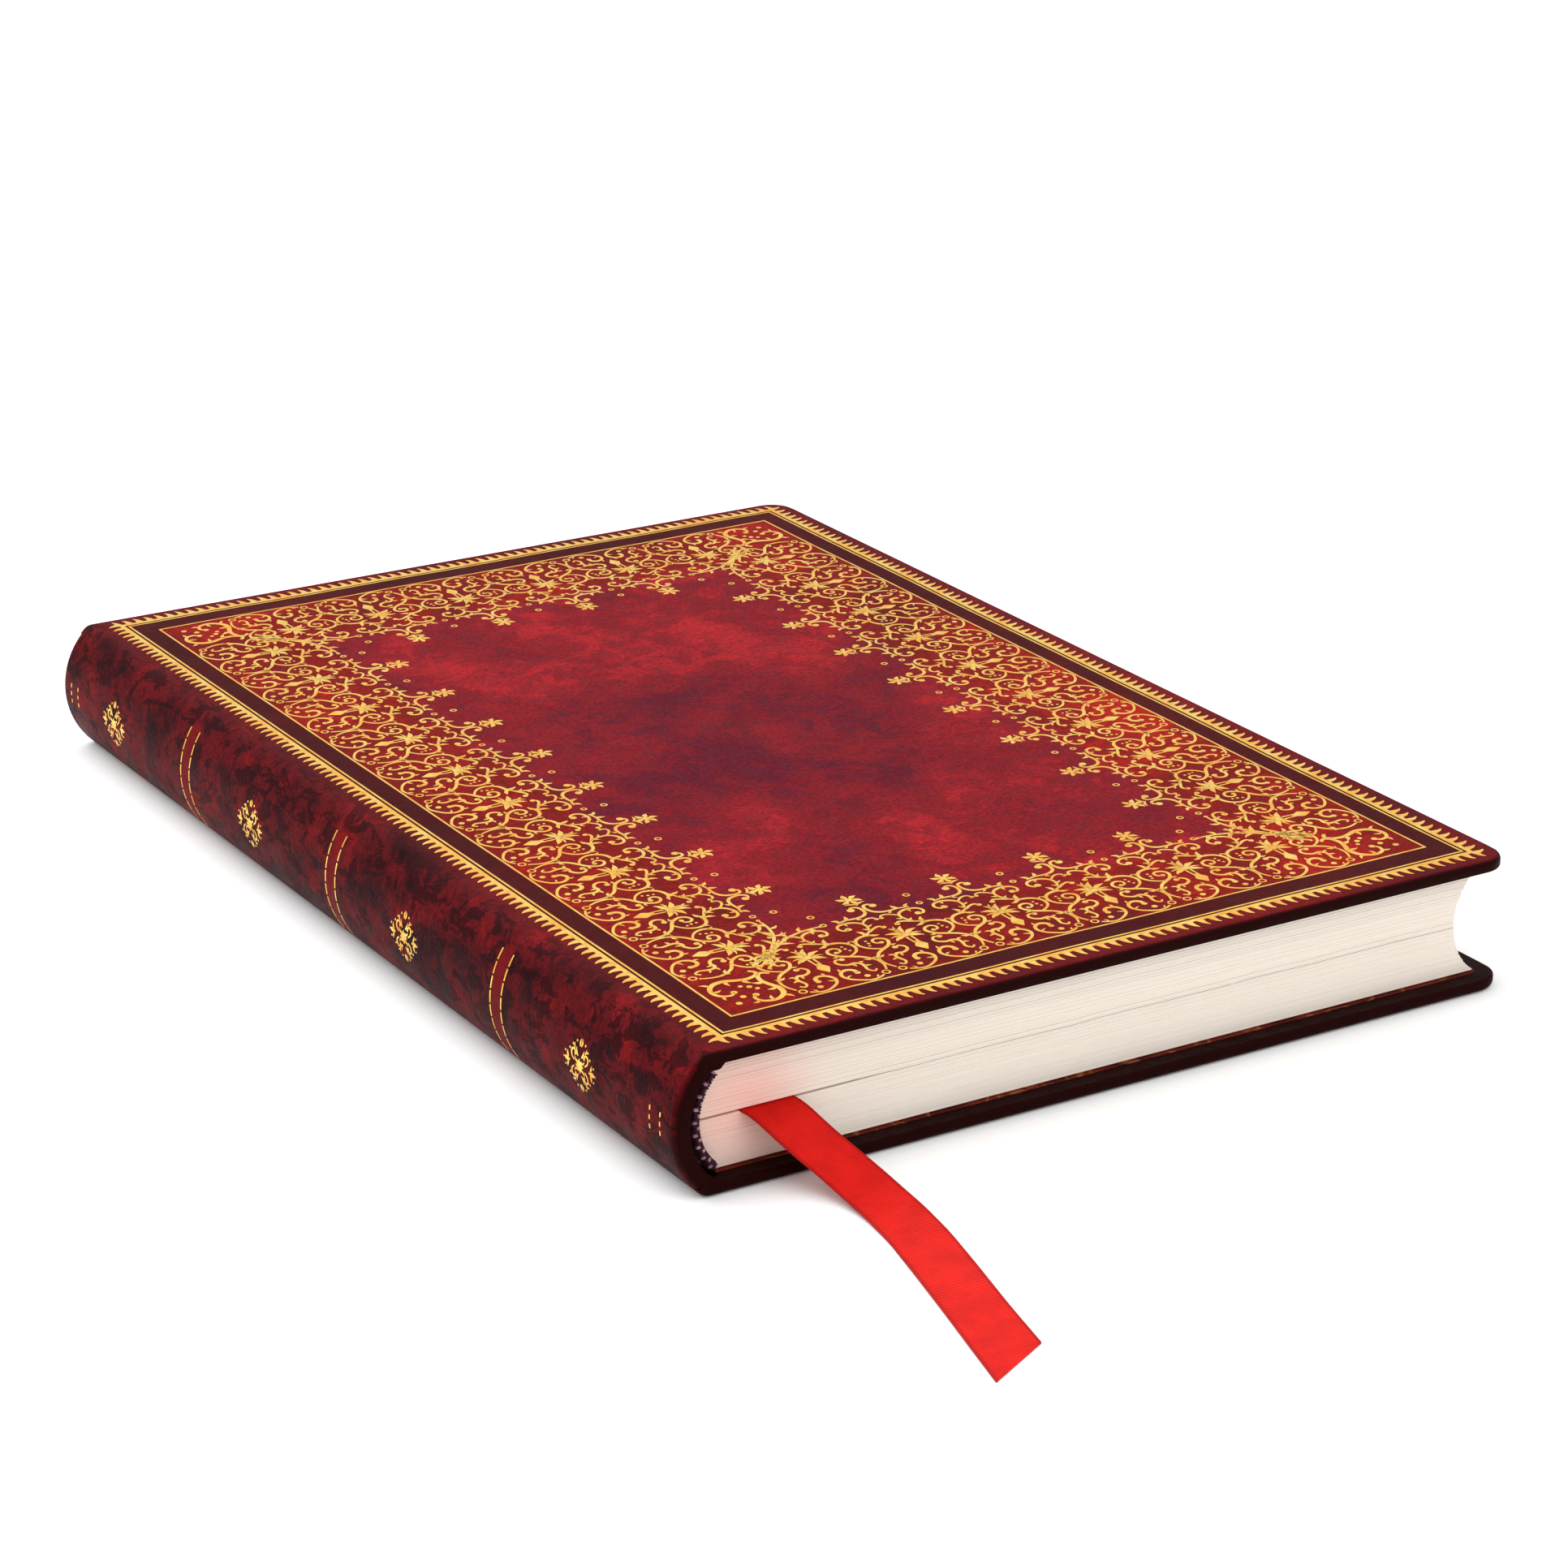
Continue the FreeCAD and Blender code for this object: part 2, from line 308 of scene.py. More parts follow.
def make_calf_group():
    """Mottled calf: dyed blotches of three colours, veined and speckled, under a fine grain."""
    group, n, given, put = new_group(
        "calf",
        {"Place": "vector", "Dark": "colour", "Middle": "colour", "Bright": "colour",
         "Blotch": "float", "Lean": "float"},
        {"Colour": "colour", "Roughness": "float", "Height": "float"})
    place = given["Place"]
    blotch = n.noise(place, given["Blotch"], 5.0, 0.62, 0.6)
    cloud = n.noise(n.stretched(place, (2.1, 1.3, 2.1), 33), given["Blotch"], 3.0, 0.5, 0.3)
    mottle = n.noise(place, 330.0, 5.0, 0.68, 0.4)
    speck = n.noise(place, 1700.0, 3.0, 0.6)
    field = n.math("MULTIPLY_ADD", cloud, 0.45, n.math("MULTIPLY", blotch, 0.55))
    crisp = n.between(n.noise(place, 150.0, 7.0, 0.75, 1.0), 0.44, 0.56)
    field = n.math("MULTIPLY_ADD", mottle, 0.26, n.math("MULTIPLY", field, 0.76))
    field = n.math("MULTIPLY_ADD", crisp, 0.06, field)
    field = n.math("ADD", field, given["Lean"])
    dark_to_middle = n.mix(n.between(field, 0.42, 0.56), given["Dark"], given["Middle"])
    colour = n.mix(n.between(field, 0.55, 0.70), dark_to_middle, given["Bright"])
    shadow = n.between(speck, 0.30, 0.72, 0.72, 1.22)
    colour = n.mix(1.0, colour, n.add("ShaderNodeCombineColor", Red=shadow, Green=shadow,
                                      Blue=shadow).outputs[0], "MULTIPLY")
    scuffs = n.noise(n.stretched(place, (2600, 110, 300), 38), 1.0, 2.0, 0.5)
    scuffs = n.math("MULTIPLY", n.between(scuffs, 0.70, 0.78), n.between(blotch, 0.45, 0.6))
    colour = n.mix(n.math("MULTIPLY", scuffs, 0.25), colour, given["Bright"])
    cells = n.add("ShaderNodeTexVoronoi", {"feature": "DISTANCE_TO_EDGE"}, Vector=place,
                  Scale=1500.0)
    grain = n.between(cells.outputs["Distance"], 0.0, 0.22)
    ripple = n.noise(place, 240.0, 3.0, 0.5)
    height = n.math("MULTIPLY_ADD", grain, 0.35, n.math("MULTIPLY", ripple, 1.3))
    n.join(colour, put["Colour"])
    n.join(n.between(mottle, 0.25, 0.75, 0.40, 0.58), put["Roughness"])
    n.join(n.math("SUBTRACT", height, n.math("MULTIPLY", scuffs, 0.5)), put["Height"])
    return group


def make_frame_group():
    """A mask of a rectangular band on a cover: 1 between an inner and an outer rectangle."""
    group, n, given, put = new_group(
        "band mask",
        {"Place": "vector", "Middle X": "float", "Inner X": "float", "Inner Y": "float",
         "Width": "float"},
        {"Mask": "float"})
    split = n.add("ShaderNodeSeparateXYZ", Vector=given["Place"])
    x = n.math("ABSOLUTE", n.math("SUBTRACT", split.outputs[0], given["Middle X"]))
    y = n.math("ABSOLUTE", split.outputs[1])
    out = n.math("MAXIMUM", n.math("SUBTRACT", x, given["Inner X"]),
                 n.math("SUBTRACT", y, given["Inner Y"]))
    inner = n.between(out, -0.0002, 0.0002)
    outer = n.between(n.math("SUBTRACT", out, given["Width"]), -0.0002, 0.0002, 1.0, 0.0)
    n.join(n.math("MULTIPLY", inner, outer), put["Mask"])
    return group


CALF = make_calf_group()
BAND_MASK = make_frame_group()

# The red bands across the spine
SPINE_BAND_Y, SPINE_BAND_HALF = 46.2, 1.4

# The gold frames, as distances from the edges of a cover
LINE_FORE, LINE_END, LINE_WIDTH = 7.8, 7.96, 103.9
BAND_FORE, BAND_END, BAND_WIDTH = 3.64, 3.32, 112.36
LINE_X = (FORE_X - LINE_FORE - LINE_WIDTH, FORE_X - LINE_FORE)
LINE_Y = HEAD_Y - LINE_END
BAND_X = (FORE_X - BAND_FORE - BAND_WIDTH, FORE_X - BAND_FORE)
BAND_Y = HEAD_Y - BAND_END


def binding_calf():
    """The calf of the whole binding: crimson covers turning to plum in their middle, a
    near-black mat inside the gold band, a darker spine with three red bands, and black edges.
    """
    material, n, shader = new_material("calf")
    place = n.kept_place()
    out = n.add("ShaderNodeVectorMath", {"operation": "LENGTH"})
    n.join(n.stretched(place, (33, 17, 0)), out.inputs[0])
    lean = n.between(out.outputs["Value"], 0.1, 1.1, -0.035, 0.02)
    cover = use_group(n, CALF, Place=place, Dark=rgb(84, 13, 30), Middle=rgb(112, 16, 26),
                      Bright=rgb(150, 26, 32), Blotch=30.0, Lean=lean)
    spine = use_group(n, CALF, Place=place, Dark=rgb(44, 6, 11), Middle=rgb(82, 11, 16),
                      Bright=rgb(116, 16, 20), Blotch=90.0, Lean=0.0)
    split = n.add("ShaderNodeSeparateXYZ", Vector=place).outputs
    band = use_group(n, BAND_MASK, Place=place, Middle_X=sum(LINE_X) / 2 * MM,
                     Inner_X=(LINE_X[1] - LINE_X[0]) / 2 * MM, Inner_Y=LINE_Y * MM,
                     Width=(BAND_X[1] - BAND_X[0] - LINE_X[1] + LINE_X[0]) / 2 * MM)
    margin = use_group(n, BAND_MASK, Place=place, Middle_X=sum(BAND_X) / 2 * MM,
                       Inner_X=(BAND_X[1] - BAND_X[0]) / 2 * MM, Inner_Y=BAND_Y * MM,
                       Width=0.02)
    lace = use_group(n, BAND_MASK, Place=place, Middle_X=sum(LINE_X) / 2 * MM,
                     Inner_X=(LINE_X[1] - LINE_X[0]) / 2 * MM - 0.016,
                     Inner_Y=LINE_Y * MM - 0.016, Width=0.016)
    colour = n.mix(lace["Mask"], cover["Colour"], rgb(255, 245, 165), "MULTIPLY")
    colour = n.mix(n.math("MULTIPLY", band["Mask"], 0.86), colour, rgb(46, 6, 6))
    colour = n.mix(n.math("MULTIPLY", margin["Mask"], 0.62), colour, rgb(66, 8, 7))
    from_spine = n.between(split[0], -0.0585, -0.0535, 1.0, 0.0)
    patches = n.noise(n.stretched(place, (1.5, 1, 1.5)), 240.0, 6.0, 0.70, 0.5)
    patches = n.between(patches, 0.515, 0.545, 0.0, 0.72)
    colour = n.mix(from_spine, colour, n.mix(patches, spine["Colour"], rgb(22, 3, 7)))
    outer_bands = n.math("ABSOLUTE", n.math("SUBTRACT", n.math("ABSOLUTE", split[1]),
                                            SPINE_BAND_Y * MM))
    band_y = n.math("MINIMUM", outer_bands, n.math("ABSOLUTE", split[1]))
    red = n.between(band_y, (SPINE_BAND_HALF - 0.3) * MM, SPINE_BAND_HALF * MM, 0.6, 0.0)
    red = n.math("MULTIPLY", red, n.between(split[0], -0.0598, -0.0592, 1.0, 0.0))
    colour = n.mix(red, colour, rgb(112, 14, 20))
    colour = n.mix(n.attribute("shade"), colour, rgb(28, 3, 2))
    finish(n, shader, colour, cover["Roughness"], 0.025, (0.35, 0.00012, cover["Height"]))
    return material


def gold_leaf():
    """Gold foil: slightly uneven in tone, rubbed thin in places."""
    material, n, shader = new_material("gold leaf")
    place = n.kept_place()
    tone = n.noise(place, 420.0, 3.0, 0.6)
    colour = n.mix(n.between(tone, 0.35, 0.68), rgb(238, 176, 64), rgb(255, 216, 104))
    worn = n.between(n.noise(place, 2300.0, 2.0, 0.6), 0.66, 0.74, 0.0, 0.6)
    shader.inputs["Metallic"].default_value = 0.85
    finish(n, shader, n.mix(worn, colour, rgb(170, 90, 60)),
           n.between(tone, 0.3, 0.7, 0.42, 0.30), bump=(0.3, 0.00005, n.noise(place, 3000.0, 2.0)))
    return material


def book_paper(name, light, dark):
    """Laid paper: faint lines where leaf lies on leaf, a soft fibre, and a painted blush of red
    bounce light from the ribbon on the edges round the place where it comes out.
    """
    material, n, shader = new_material(name)
    place = n.place()
    lines = n.noise(n.stretched(place, (14, 14, 5200)), 1.0, 2.0, 0.6)
    fibre = n.noise(place, 900.0, 4.0, 0.6)
    amount = n.math("MULTIPLY_ADD", fibre, 0.25, n.between(lines, 0.3, 0.75, 0.0, 0.35))
    colour = n.mix(amount, rgb(*light), rgb(*dark))
    near = n.add("ShaderNodeVectorMath", {"operation": "DISTANCE"})
    n.join(place, near.inputs[0])
    near.inputs[1].default_value = (-0.0515, -0.0875, 0.0092)
    # painted light: a pink glow of red light bounced from the ribbon, on the leaf edges round
    # where it comes out
    painted_ribbon_bounce = n.between(near.outputs["Value"], 0.001, 0.013, 0.42, 0.0)
    finish(n, shader, n.mix(painted_ribbon_bounce, colour, rgb(226, 110, 92)), 0.85, 0.2, (0.25, 0.00006, fibre))
    return material


def plain_stock(name, light, dark, scale, roughness):
    """Board, card, cloth or thread inside the binding: two tones of one fibre."""
    material, n, shader = new_material(name)
    fibre = n.noise(n.stretched(n.place(), (1, 2.2, 1)), scale, 5.0, 0.65)
    colour = n.mix(n.between(fibre, 0.3, 0.7), rgb(*light), rgb(*dark))
    finish(n, shader, colour, roughness, bump=(0.4, 0.0001, fibre))
    return material


def marbled_endpaper():
    """Endpaper of russet marbling: fine pale veins drawn through soft clouds of colour."""
    material, n, shader = new_material("endpaper")
    place = n.place()
    clouds = n.noise(place, 60.0, 4.0, 0.6, 0.8)
    colour = n.mix(n.between(clouds, 0.35, 0.65), rgb(66, 20, 13), rgb(112, 42, 27))
    veins = n.noise(place, 95.0, 3.0, 0.5, 1.6)
    veins = n.math("ABSOLUTE", n.math("SUBTRACT", veins, 0.5))
    colour = n.mix(n.between(veins, 0.004, 0.02, 0.55, 0.0), colour, rgb(168, 98, 62))
    stone = n.noise(place, 520.0, 3.0, 0.6)
    colour = n.mix(n.between(stone, 0.6, 0.68, 0.0, 0.35), colour, rgb(40, 12, 10))
    finish(n, shader, colour, 0.75, 0.08, (0.2, 0.00005, stone))
    return material


def satin_ribbon():
    """Red satin: fine ribs across the ribbon's length, read from its own map."""
    material, n, shader = new_material("satin ribbon")
    ribs = n.math("SINE", n.math("MULTIPLY", n.attribute("along"), 2 * math.pi * 2600))
    tone = n.noise(n.place(), 260.0, 3.0, 0.6)
    colour = n.mix(n.between(tone, 0.3, 0.7), rgb(190, 14, 7), rgb(208, 20, 10))
    selvedge = n.between(n.math("ABSOLUTE", n.attribute("across")), 0.86, 0.93, 0.0, 0.5)
    colour = n.mix(selvedge, colour, rgb(120, 4, 8))
    colour = n.mix(n.between(ribs, -1.0, 1.0, 0.0, 0.1), colour, rgb(120, 4, 8))
    finish(n, shader, colour, 0.42, 0.08, (0.25, 0.00005, ribs))
    return material


def band_silk():
    """The silk of the end bands: two colours of thread, told apart by an attribute."""
    material, n, shader = new_material("band silk")
    twist = n.noise(n.kept_place(), 2500.0, 2.0, 0.5)
    pale = n.mix(n.between(twist, 0.3, 0.7), rgb(196, 150, 170), rgb(150, 100, 124))
    deep = n.mix(n.between(twist, 0.3, 0.7), rgb(48, 10, 22), rgb(22, 4, 10))
    finish(n, shader, n.mix(n.attribute("shade"), deep, pale), 0.45, 0.15)
    return material


BINDING_CALF = binding_calf()
GOLD = gold_leaf()
LEAF_PAPER = book_paper("leaf paper", (234, 224, 212), (220, 208, 196))
ENDPAPER = marbled_endpaper()
BOARD = plain_stock("binder's board", (150, 136, 112), (112, 100, 82), 900.0, 0.9)
CARD = plain_stock("card", (186, 172, 146), (150, 138, 116), 700.0, 0.9)
KRAFT = plain_stock("kraft paper", (150, 116, 78), (120, 90, 58), 800.0, 0.9)
LINEN = plain_stock("linen", (214, 206, 184), (170, 160, 138), 2200.0, 0.9)
RIBBON_SATIN = satin_ribbon()
BAND_SILK = band_silk()


# ---------------------------------------------------------------- the leather of the covers

# How far the leather starts inside the box of the book, and the rounding of its edges
SINK = 0.1
EDGE_ROUNDING = 0.75
INNER_ROUNDING = 0.35


def from_edge(x, y):
    """How far a point lies inside a cover's rounded outline, leaving out the spine side."""
    across = x - (FORE_X - CORNER_RADIUS)
    along = np.abs(y) - (HEAD_Y - CORNER_RADIUS)
    outside = np.hypot(np.maximum(across, 0), np.maximum(along, 0))
    return CORNER_RADIUS - outside - np.minimum(np.maximum(across, along), 0)


def rounded_drop(distance, radius):
    """How far a quarter-round edge has dropped at a distance inside the outline."""
    inward = np.clip(radius - distance, 0, radius)
    return radius - np.sqrt(np.maximum(radius ** 2 - inward ** 2, 0))


def leather_depth(x, y):
    """How far the leather of a cover lies below the highest plane it reaches.

    Two slow waves crossing each other, fading out towards the edges and on to the spine.
    """
    inside = from_edge(x, y)
    waves = 0.035 * np.sin(x * 0.21 + 1.3 * np.sin(y * 0.08)) + 0.03 * np.sin(y * 0.17 + x * 0.05)
    fade = np.clip((x - BOARD_X) / 6, 0, 1) * np.clip(inside / 3, 0, 1)
    return SINK + waves * fade + rounded_drop(inside, EDGE_ROUNDING)


def spine_wrap(x, depth):
    """Bends a flat sheet round the shoulder and the spine.

    x runs along the outside of the leather, and depth is measured inwards from it. The outline
    is flat, then a shoulder arc, then the spine's arc; both arcs are measured by their length.
    """
    past = np.maximum(FLAT_END - x, 0)
    turn = np.minimum(past, SHOULDER_ARC) / SHOULDER_RADIUS
    round_turn = np.maximum(past - SHOULDER_ARC, 0) / SPINE_RADIUS
    angle = math.pi / 2 - turn - round_turn
    on_spine = past > SHOULDER_ARC
    radius = np.where(on_spine, SPINE_RADIUS, SHOULDER_RADIUS) - depth
    centre_x = np.where(on_spine, SPINE_X, FLAT_END)
    centre_z = np.where(on_spine, 0.0, SHOULDER_Z)
    new_x = np.where(past > 0, centre_x - radius * np.cos(angle), x)
    new_z = np.where(past > 0, centre_z + radius * np.sin(angle), MIDDLE_Z - depth)
    return new_x, new_z


def seam_start():
    """Where the seam with the spine's leather lies, along the outside of a cover's leather."""
    return FLAT_END - SHOULDER_ARC - SPINE_RADIUS * (TURN_END - SEAM_ANGLE)


def crowded(low, high, count, near, steps):
    """Evenly spaced values, with some more at given distances from both ends."""
    middle = np.linspace(low + near, high - near, count)
    return np.concatenate([low + steps, middle, (high - steps)[::-1]])


def cover_skin(front):
    """The leather of a cover: a slab with round edges, thin where it turns on to the spine."""
    steps = np.array([0, 0.03, 0.09, 0.18, 0.3, 0.45, 0.62])
    start = seam_start()
    x = np.concatenate([
        np.linspace(start, BOARD_X - 1.2, 22),
        np.linspace(BOARD_X - 1.0, BOARD_X + 1, 8),
        np.linspace(BOARD_X + 3, FORE_X - CORNER_RADIUS, 58),
        FORE_X - CORNER_RADIUS * (1 - np.sin(np.linspace(0.08, 1, 16) * math.pi / 2)),
    ])
    half = HEAD_Y - CORNER_RADIUS + np.sqrt(
        np.maximum(CORNER_RADIUS ** 2 - np.maximum(x - FORE_X + CORNER_RADIUS, 0) ** 2, 0))
    share = crowded(-1, 1, 96, 0.8 / HEAD_Y, steps / HEAD_Y)
    across = np.repeat(x[:, None], len(share), 1)
    along = half[:, None] * share[None, :]
    inside = from_edge(across, along)
    outer_depth = leather_depth(across, along)
    full = np.clip((across - BOARD_X + 0.9) / 0.8, 0, 1)
    full = full * full * (3 - 2 * full)
    lip = (inside < 0.55) & (across < BOARD_X)
    thin = np.where(lip, LIP_DEPTH - outer_depth * 0.6, 0.62)
    inner_depth = thin + (COVER_DEPTH - thin) * full
    inner_depth = inner_depth - rounded_drop(inside, INNER_ROUNDING) * full
    inner_depth = np.maximum(inner_depth, outer_depth + 0.02)
    grids = []
    for depth in (outer_depth, inner_depth):
        new_x, new_z = spine_wrap(across, depth)
        side = 1 if front else -1
        grids.append(np.stack([new_x, along, MIDDLE_Z + side * new_z], -1))
    dark = np.clip((0.6 - inside) / 0.35, 0, 1)
    shade = np.concatenate([dark.reshape(-1), np.ones(dark.size)])
    return closed_sheet(*grids), shade


def make_covers():
    """Puts both covers' leather in place, bent round the shoulder on to the spine."""
    for side, front in (("front", True), ("back", False)):
        shape, shade = cover_skin(front)
        piece = add_piece(side + "_cover_skin", shape, BINDING_CALF, shade=shade)
        sharpen(piece, 60)
        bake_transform(piece)
        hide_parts(side + "_cover_leather")


# ---------------------------------------------------------------- the spine

def round_spine(radius, y, half_angle, steps):
    """A grid of points round the spine's axis, one row per y, each at its own radius."""
    angle = np.linspace(-half_angle, half_angle, steps)
    x = SPINE_X - radius[:, None] * np.cos(angle)[None, :]
    z = MIDDLE_Z + radius[:, None] * np.sin(angle)[None, :]
    return np.stack([x, np.repeat(y[:, None], steps, 1), z], -1)


def bent_strip(inner, outer, half_angle, end, steps=40):
    """A strip round the spine's axis between two radii, from -end to end."""
    y = np.linspace(-end, end, 8)
    grids = [round_spine(np.full(8, radius), y, half_angle, steps) for radius in (outer, inner)]
    return closed_sheet(*grids)


def bend_with_spine(piece, *nodes):
    """Fixes a piece of the back in place, standing in for its own nodes, which are hidden."""
    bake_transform(piece)
    if nodes:
        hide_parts(*nodes)
    return piece


def spine_skin():
    """The leather of the spine: a thin shell, with a rounded lip at head and tail."""
    lip = 1.15 * (1 - np.cos(np.linspace(0, 1, 9) * math.pi / 2))
    y = np.concatenate([np.linspace(1, 88, 60), HEAD_Y - lip, [LIP_Y - 0.04, LIP_Y + 0.04]])
    y = np.sort(np.concatenate([-y, y]))
    drop = rounded_drop(HEAD_Y - np.abs(y), 1.15)
    depth = np.where(np.abs(y) > LIP_Y, LIP_DEPTH - drop * 0.6, 0.7)
    outer = round_spine(SPINE_RADIUS - SINK - drop, y, SEAM_ANGLE, 70)
    inner = round_spine(SPINE_RADIUS - np.maximum(depth, SINK + drop + 0.05), y, SEAM_ANGLE, 70)
    dark = np.repeat(np.clip(drop / 0.5, 0, 1)[:, None], 70, 1)
    return closed_sheet(outer, inner), np.concatenate([dark.reshape(-1), np.ones(dark.size)])


def make_spine():
    """Puts the spine's leather, card, lining and cloth in place."""
    shape, shade = spine_skin()
    skin = sharpen(add_piece("spine_skin", shape, BINDING_CALF, shade=shade), 60)
    bend_with_spine(skin, "spine_leather")
    nodes = (
        ("spine_stiffener_card", "spine_stiffener", CARD, "board", 0.8),
        ("spine_lining_paper", "spine_lining", KRAFT, "lining_paper", 0.4),
        ("mull_cloth", "mull", LINEN, "mull", 0.2),
    )
    for name, node, material, slot, thickness in nodes:
        low, high = corners(node)
        end = high[1]
        outer = SPINE_X - low[0]
        half_angle = math.asin((high[2] - MIDDLE_Z) / outer)
        shape = bent_strip(outer - thickness, outer, half_angle, end)
        bend_with_spine(add_piece(name, shape, material), node)


def end_band(head):
    """A sewn end band: stitches wound round a core that follows the back of the leaves.

    The core's cross-section is an oval, and its size swells once per stitch. The pale silk
    shows on every second stitch, in two staggered columns.
    """
    low, high = corners("head_band" if head else "tail_band")
    middle = SPINE_X - low[0] - BAND_CORE
    half_angle = math.asin((high[2] - MIDDLE_Z) / (SPINE_X - low[0]))
    count = BAND_STITCHES * 8 + 1
    grids, shades = [], []
    for start in (0, math.pi):
        share, turn = np.meshgrid(np.linspace(0, 1, count),
                                  np.linspace(start + 0.1, start + math.pi - 0.1, 18),
                                  indexing="ij")
        phase = share * BAND_STITCHES + 0.4 * np.sin(turn)
        swell = 0.80 + 0.20 * np.abs(np.sin(math.pi * phase))
        radius = middle + BAND_CORE * swell * np.cos(turn)
        angle = (2 * share - 1) * half_angle
        y = (low[1] + high[1]) / 2 + (high[1] - low[1]) / 2 * swell * np.sin(turn)
        grids.append(np.stack([SPINE_X - radius * np.cos(angle), y,
                               MIDDLE_Z + radius * np.sin(angle)], -1))
        side = turn - (0.5 if head else 1.5) * math.pi
        column = np.where(np.floor(phase) % 4 == 1, 0.45, -0.45)
        near = np.clip(1.6 - np.abs(side - column) / 0.3, 0, 1)
        shades.append(((np.floor(phase) % 2 == 1) * near).reshape(-1))
    grids[1] = grids[1][:, ::-1]
    shades[1] = shades[1].reshape(count, 18)[:, ::-1].reshape(-1)
    return closed_sheet(*grids), np.concatenate(shades)


def make_end_bands():
    """Puts the head band and the tail band in place."""
    for end in ("head", "tail"):
        shape, shade = end_band(end == "head")
        piece = add_piece(end + "_band_sewn", shape, BAND_SILK, shade=shade)
        bend_with_spine(piece, end + "_band")


# ---------------------------------------------------------------- gold tooling

def smooth_path(points, steps=3):
    """A smooth curve through points in a plane."""
    p = np.array(points, float)
    p = np.concatenate([2 * p[:1] - p[1:2], p, 2 * p[-1:] - p[-2:-1]])
    t = (np.arange(steps) / steps)[None, :, None]
    a, b, c, d = (p[k:len(p) - 3 + k, None, :] for k in range(4))
    curve = 2 * b + (c - a) * t + (2 * a - 5 * b + 4 * c - d) * t ** 2
    curve = (curve + (3 * b - a - 3 * c + d) * t ** 3) / 2
    return np.concatenate([curve.reshape(-1, 2), p[-2:-1]])


def ribbon_of_gold(path, widths):
    """A flat raised line of changing width along a path, as a closed mesh."""
    ahead = np.gradient(path, axis=0)
    ahead = ahead / np.linalg.norm(ahead, axis=1)[:, None]
    side = np.stack([-ahead[:, 1], ahead[:, 0]], 1) * widths[:, None] / 2
    edges = np.stack([path + side, path - side], 1)
    grids = [np.concatenate([edges, np.full((len(path), 2, 1), h)], -1) for h in GOLD_RISE]
    return closed_sheet(grids[1], grids[0])


def stroke(points, widths=(0.24, 0.36, 0.24), blob=0.0):
    """One tooled line: its widths at start, middle and end, and a round drop at its end."""
    path = smooth_path(points)
    along = np.concatenate([[0], np.cumsum(np.linalg.norm(np.diff(path, axis=0), axis=1))])
    parts = [ribbon_of_gold(path, WEIGHT * np.interp(along / along[-1], (0, 0.5, 1), widths))]
    if blob:
        parts.append(dot(path[-1], blob))
    return parts


def dot(centre, radius):
    """A round dot of gold."""
    radius = radius * (1 + WEIGHT) / 2
    turn = np.linspace(0.12, math.pi - 0.12, 8)
    path = np.array(centre) + np.stack([-radius * np.cos(turn), np.zeros(8)], 1)
    return ribbon_of_gold(path, 2 * radius * np.sin(turn))


def ring(centre, radius, width=0.2):
    """A small ring of gold."""
    turn = np.linspace(0, 2 * math.pi, 13)
    path = np.array(centre) + radius * np.stack([np.cos(turn), np.sin(turn)], 1)
    return ribbon_of_gold(path, np.full(13, width * WEIGHT))


def leaf(root, tip, width=0.6):
    """A pointed leaf from its root to its tip, bowed a little to one side."""
    root, tip = np.array(root, float), np.array(tip, float)
    across = np.array([root[1] - tip[1], tip[0] - root[0]])
    share = np.linspace(0, 1, 7)[:, None]
    path = root + (tip - root) * share + across * 0.14 * np.sin(math.pi * share)
    return ribbon_of_gold(path, width * np.interp(share[:, 0], (0, 0.45, 1), (0.35, 1, 0.12)))


def flower(centre, radius, petals):
    """A flower of pointed petals round a dot."""
    centre = np.array(centre, float)
    parts = [dot(centre, radius * 0.26)]
    for turn in np.arange(petals) * 2 * math.pi / petals + math.pi / 2:
        out = np.array([math.cos(turn), math.sin(turn)])
        parts.append(leaf(centre + out * radius * 0.25, centre + out * radius, radius * 0.48))
    return parts


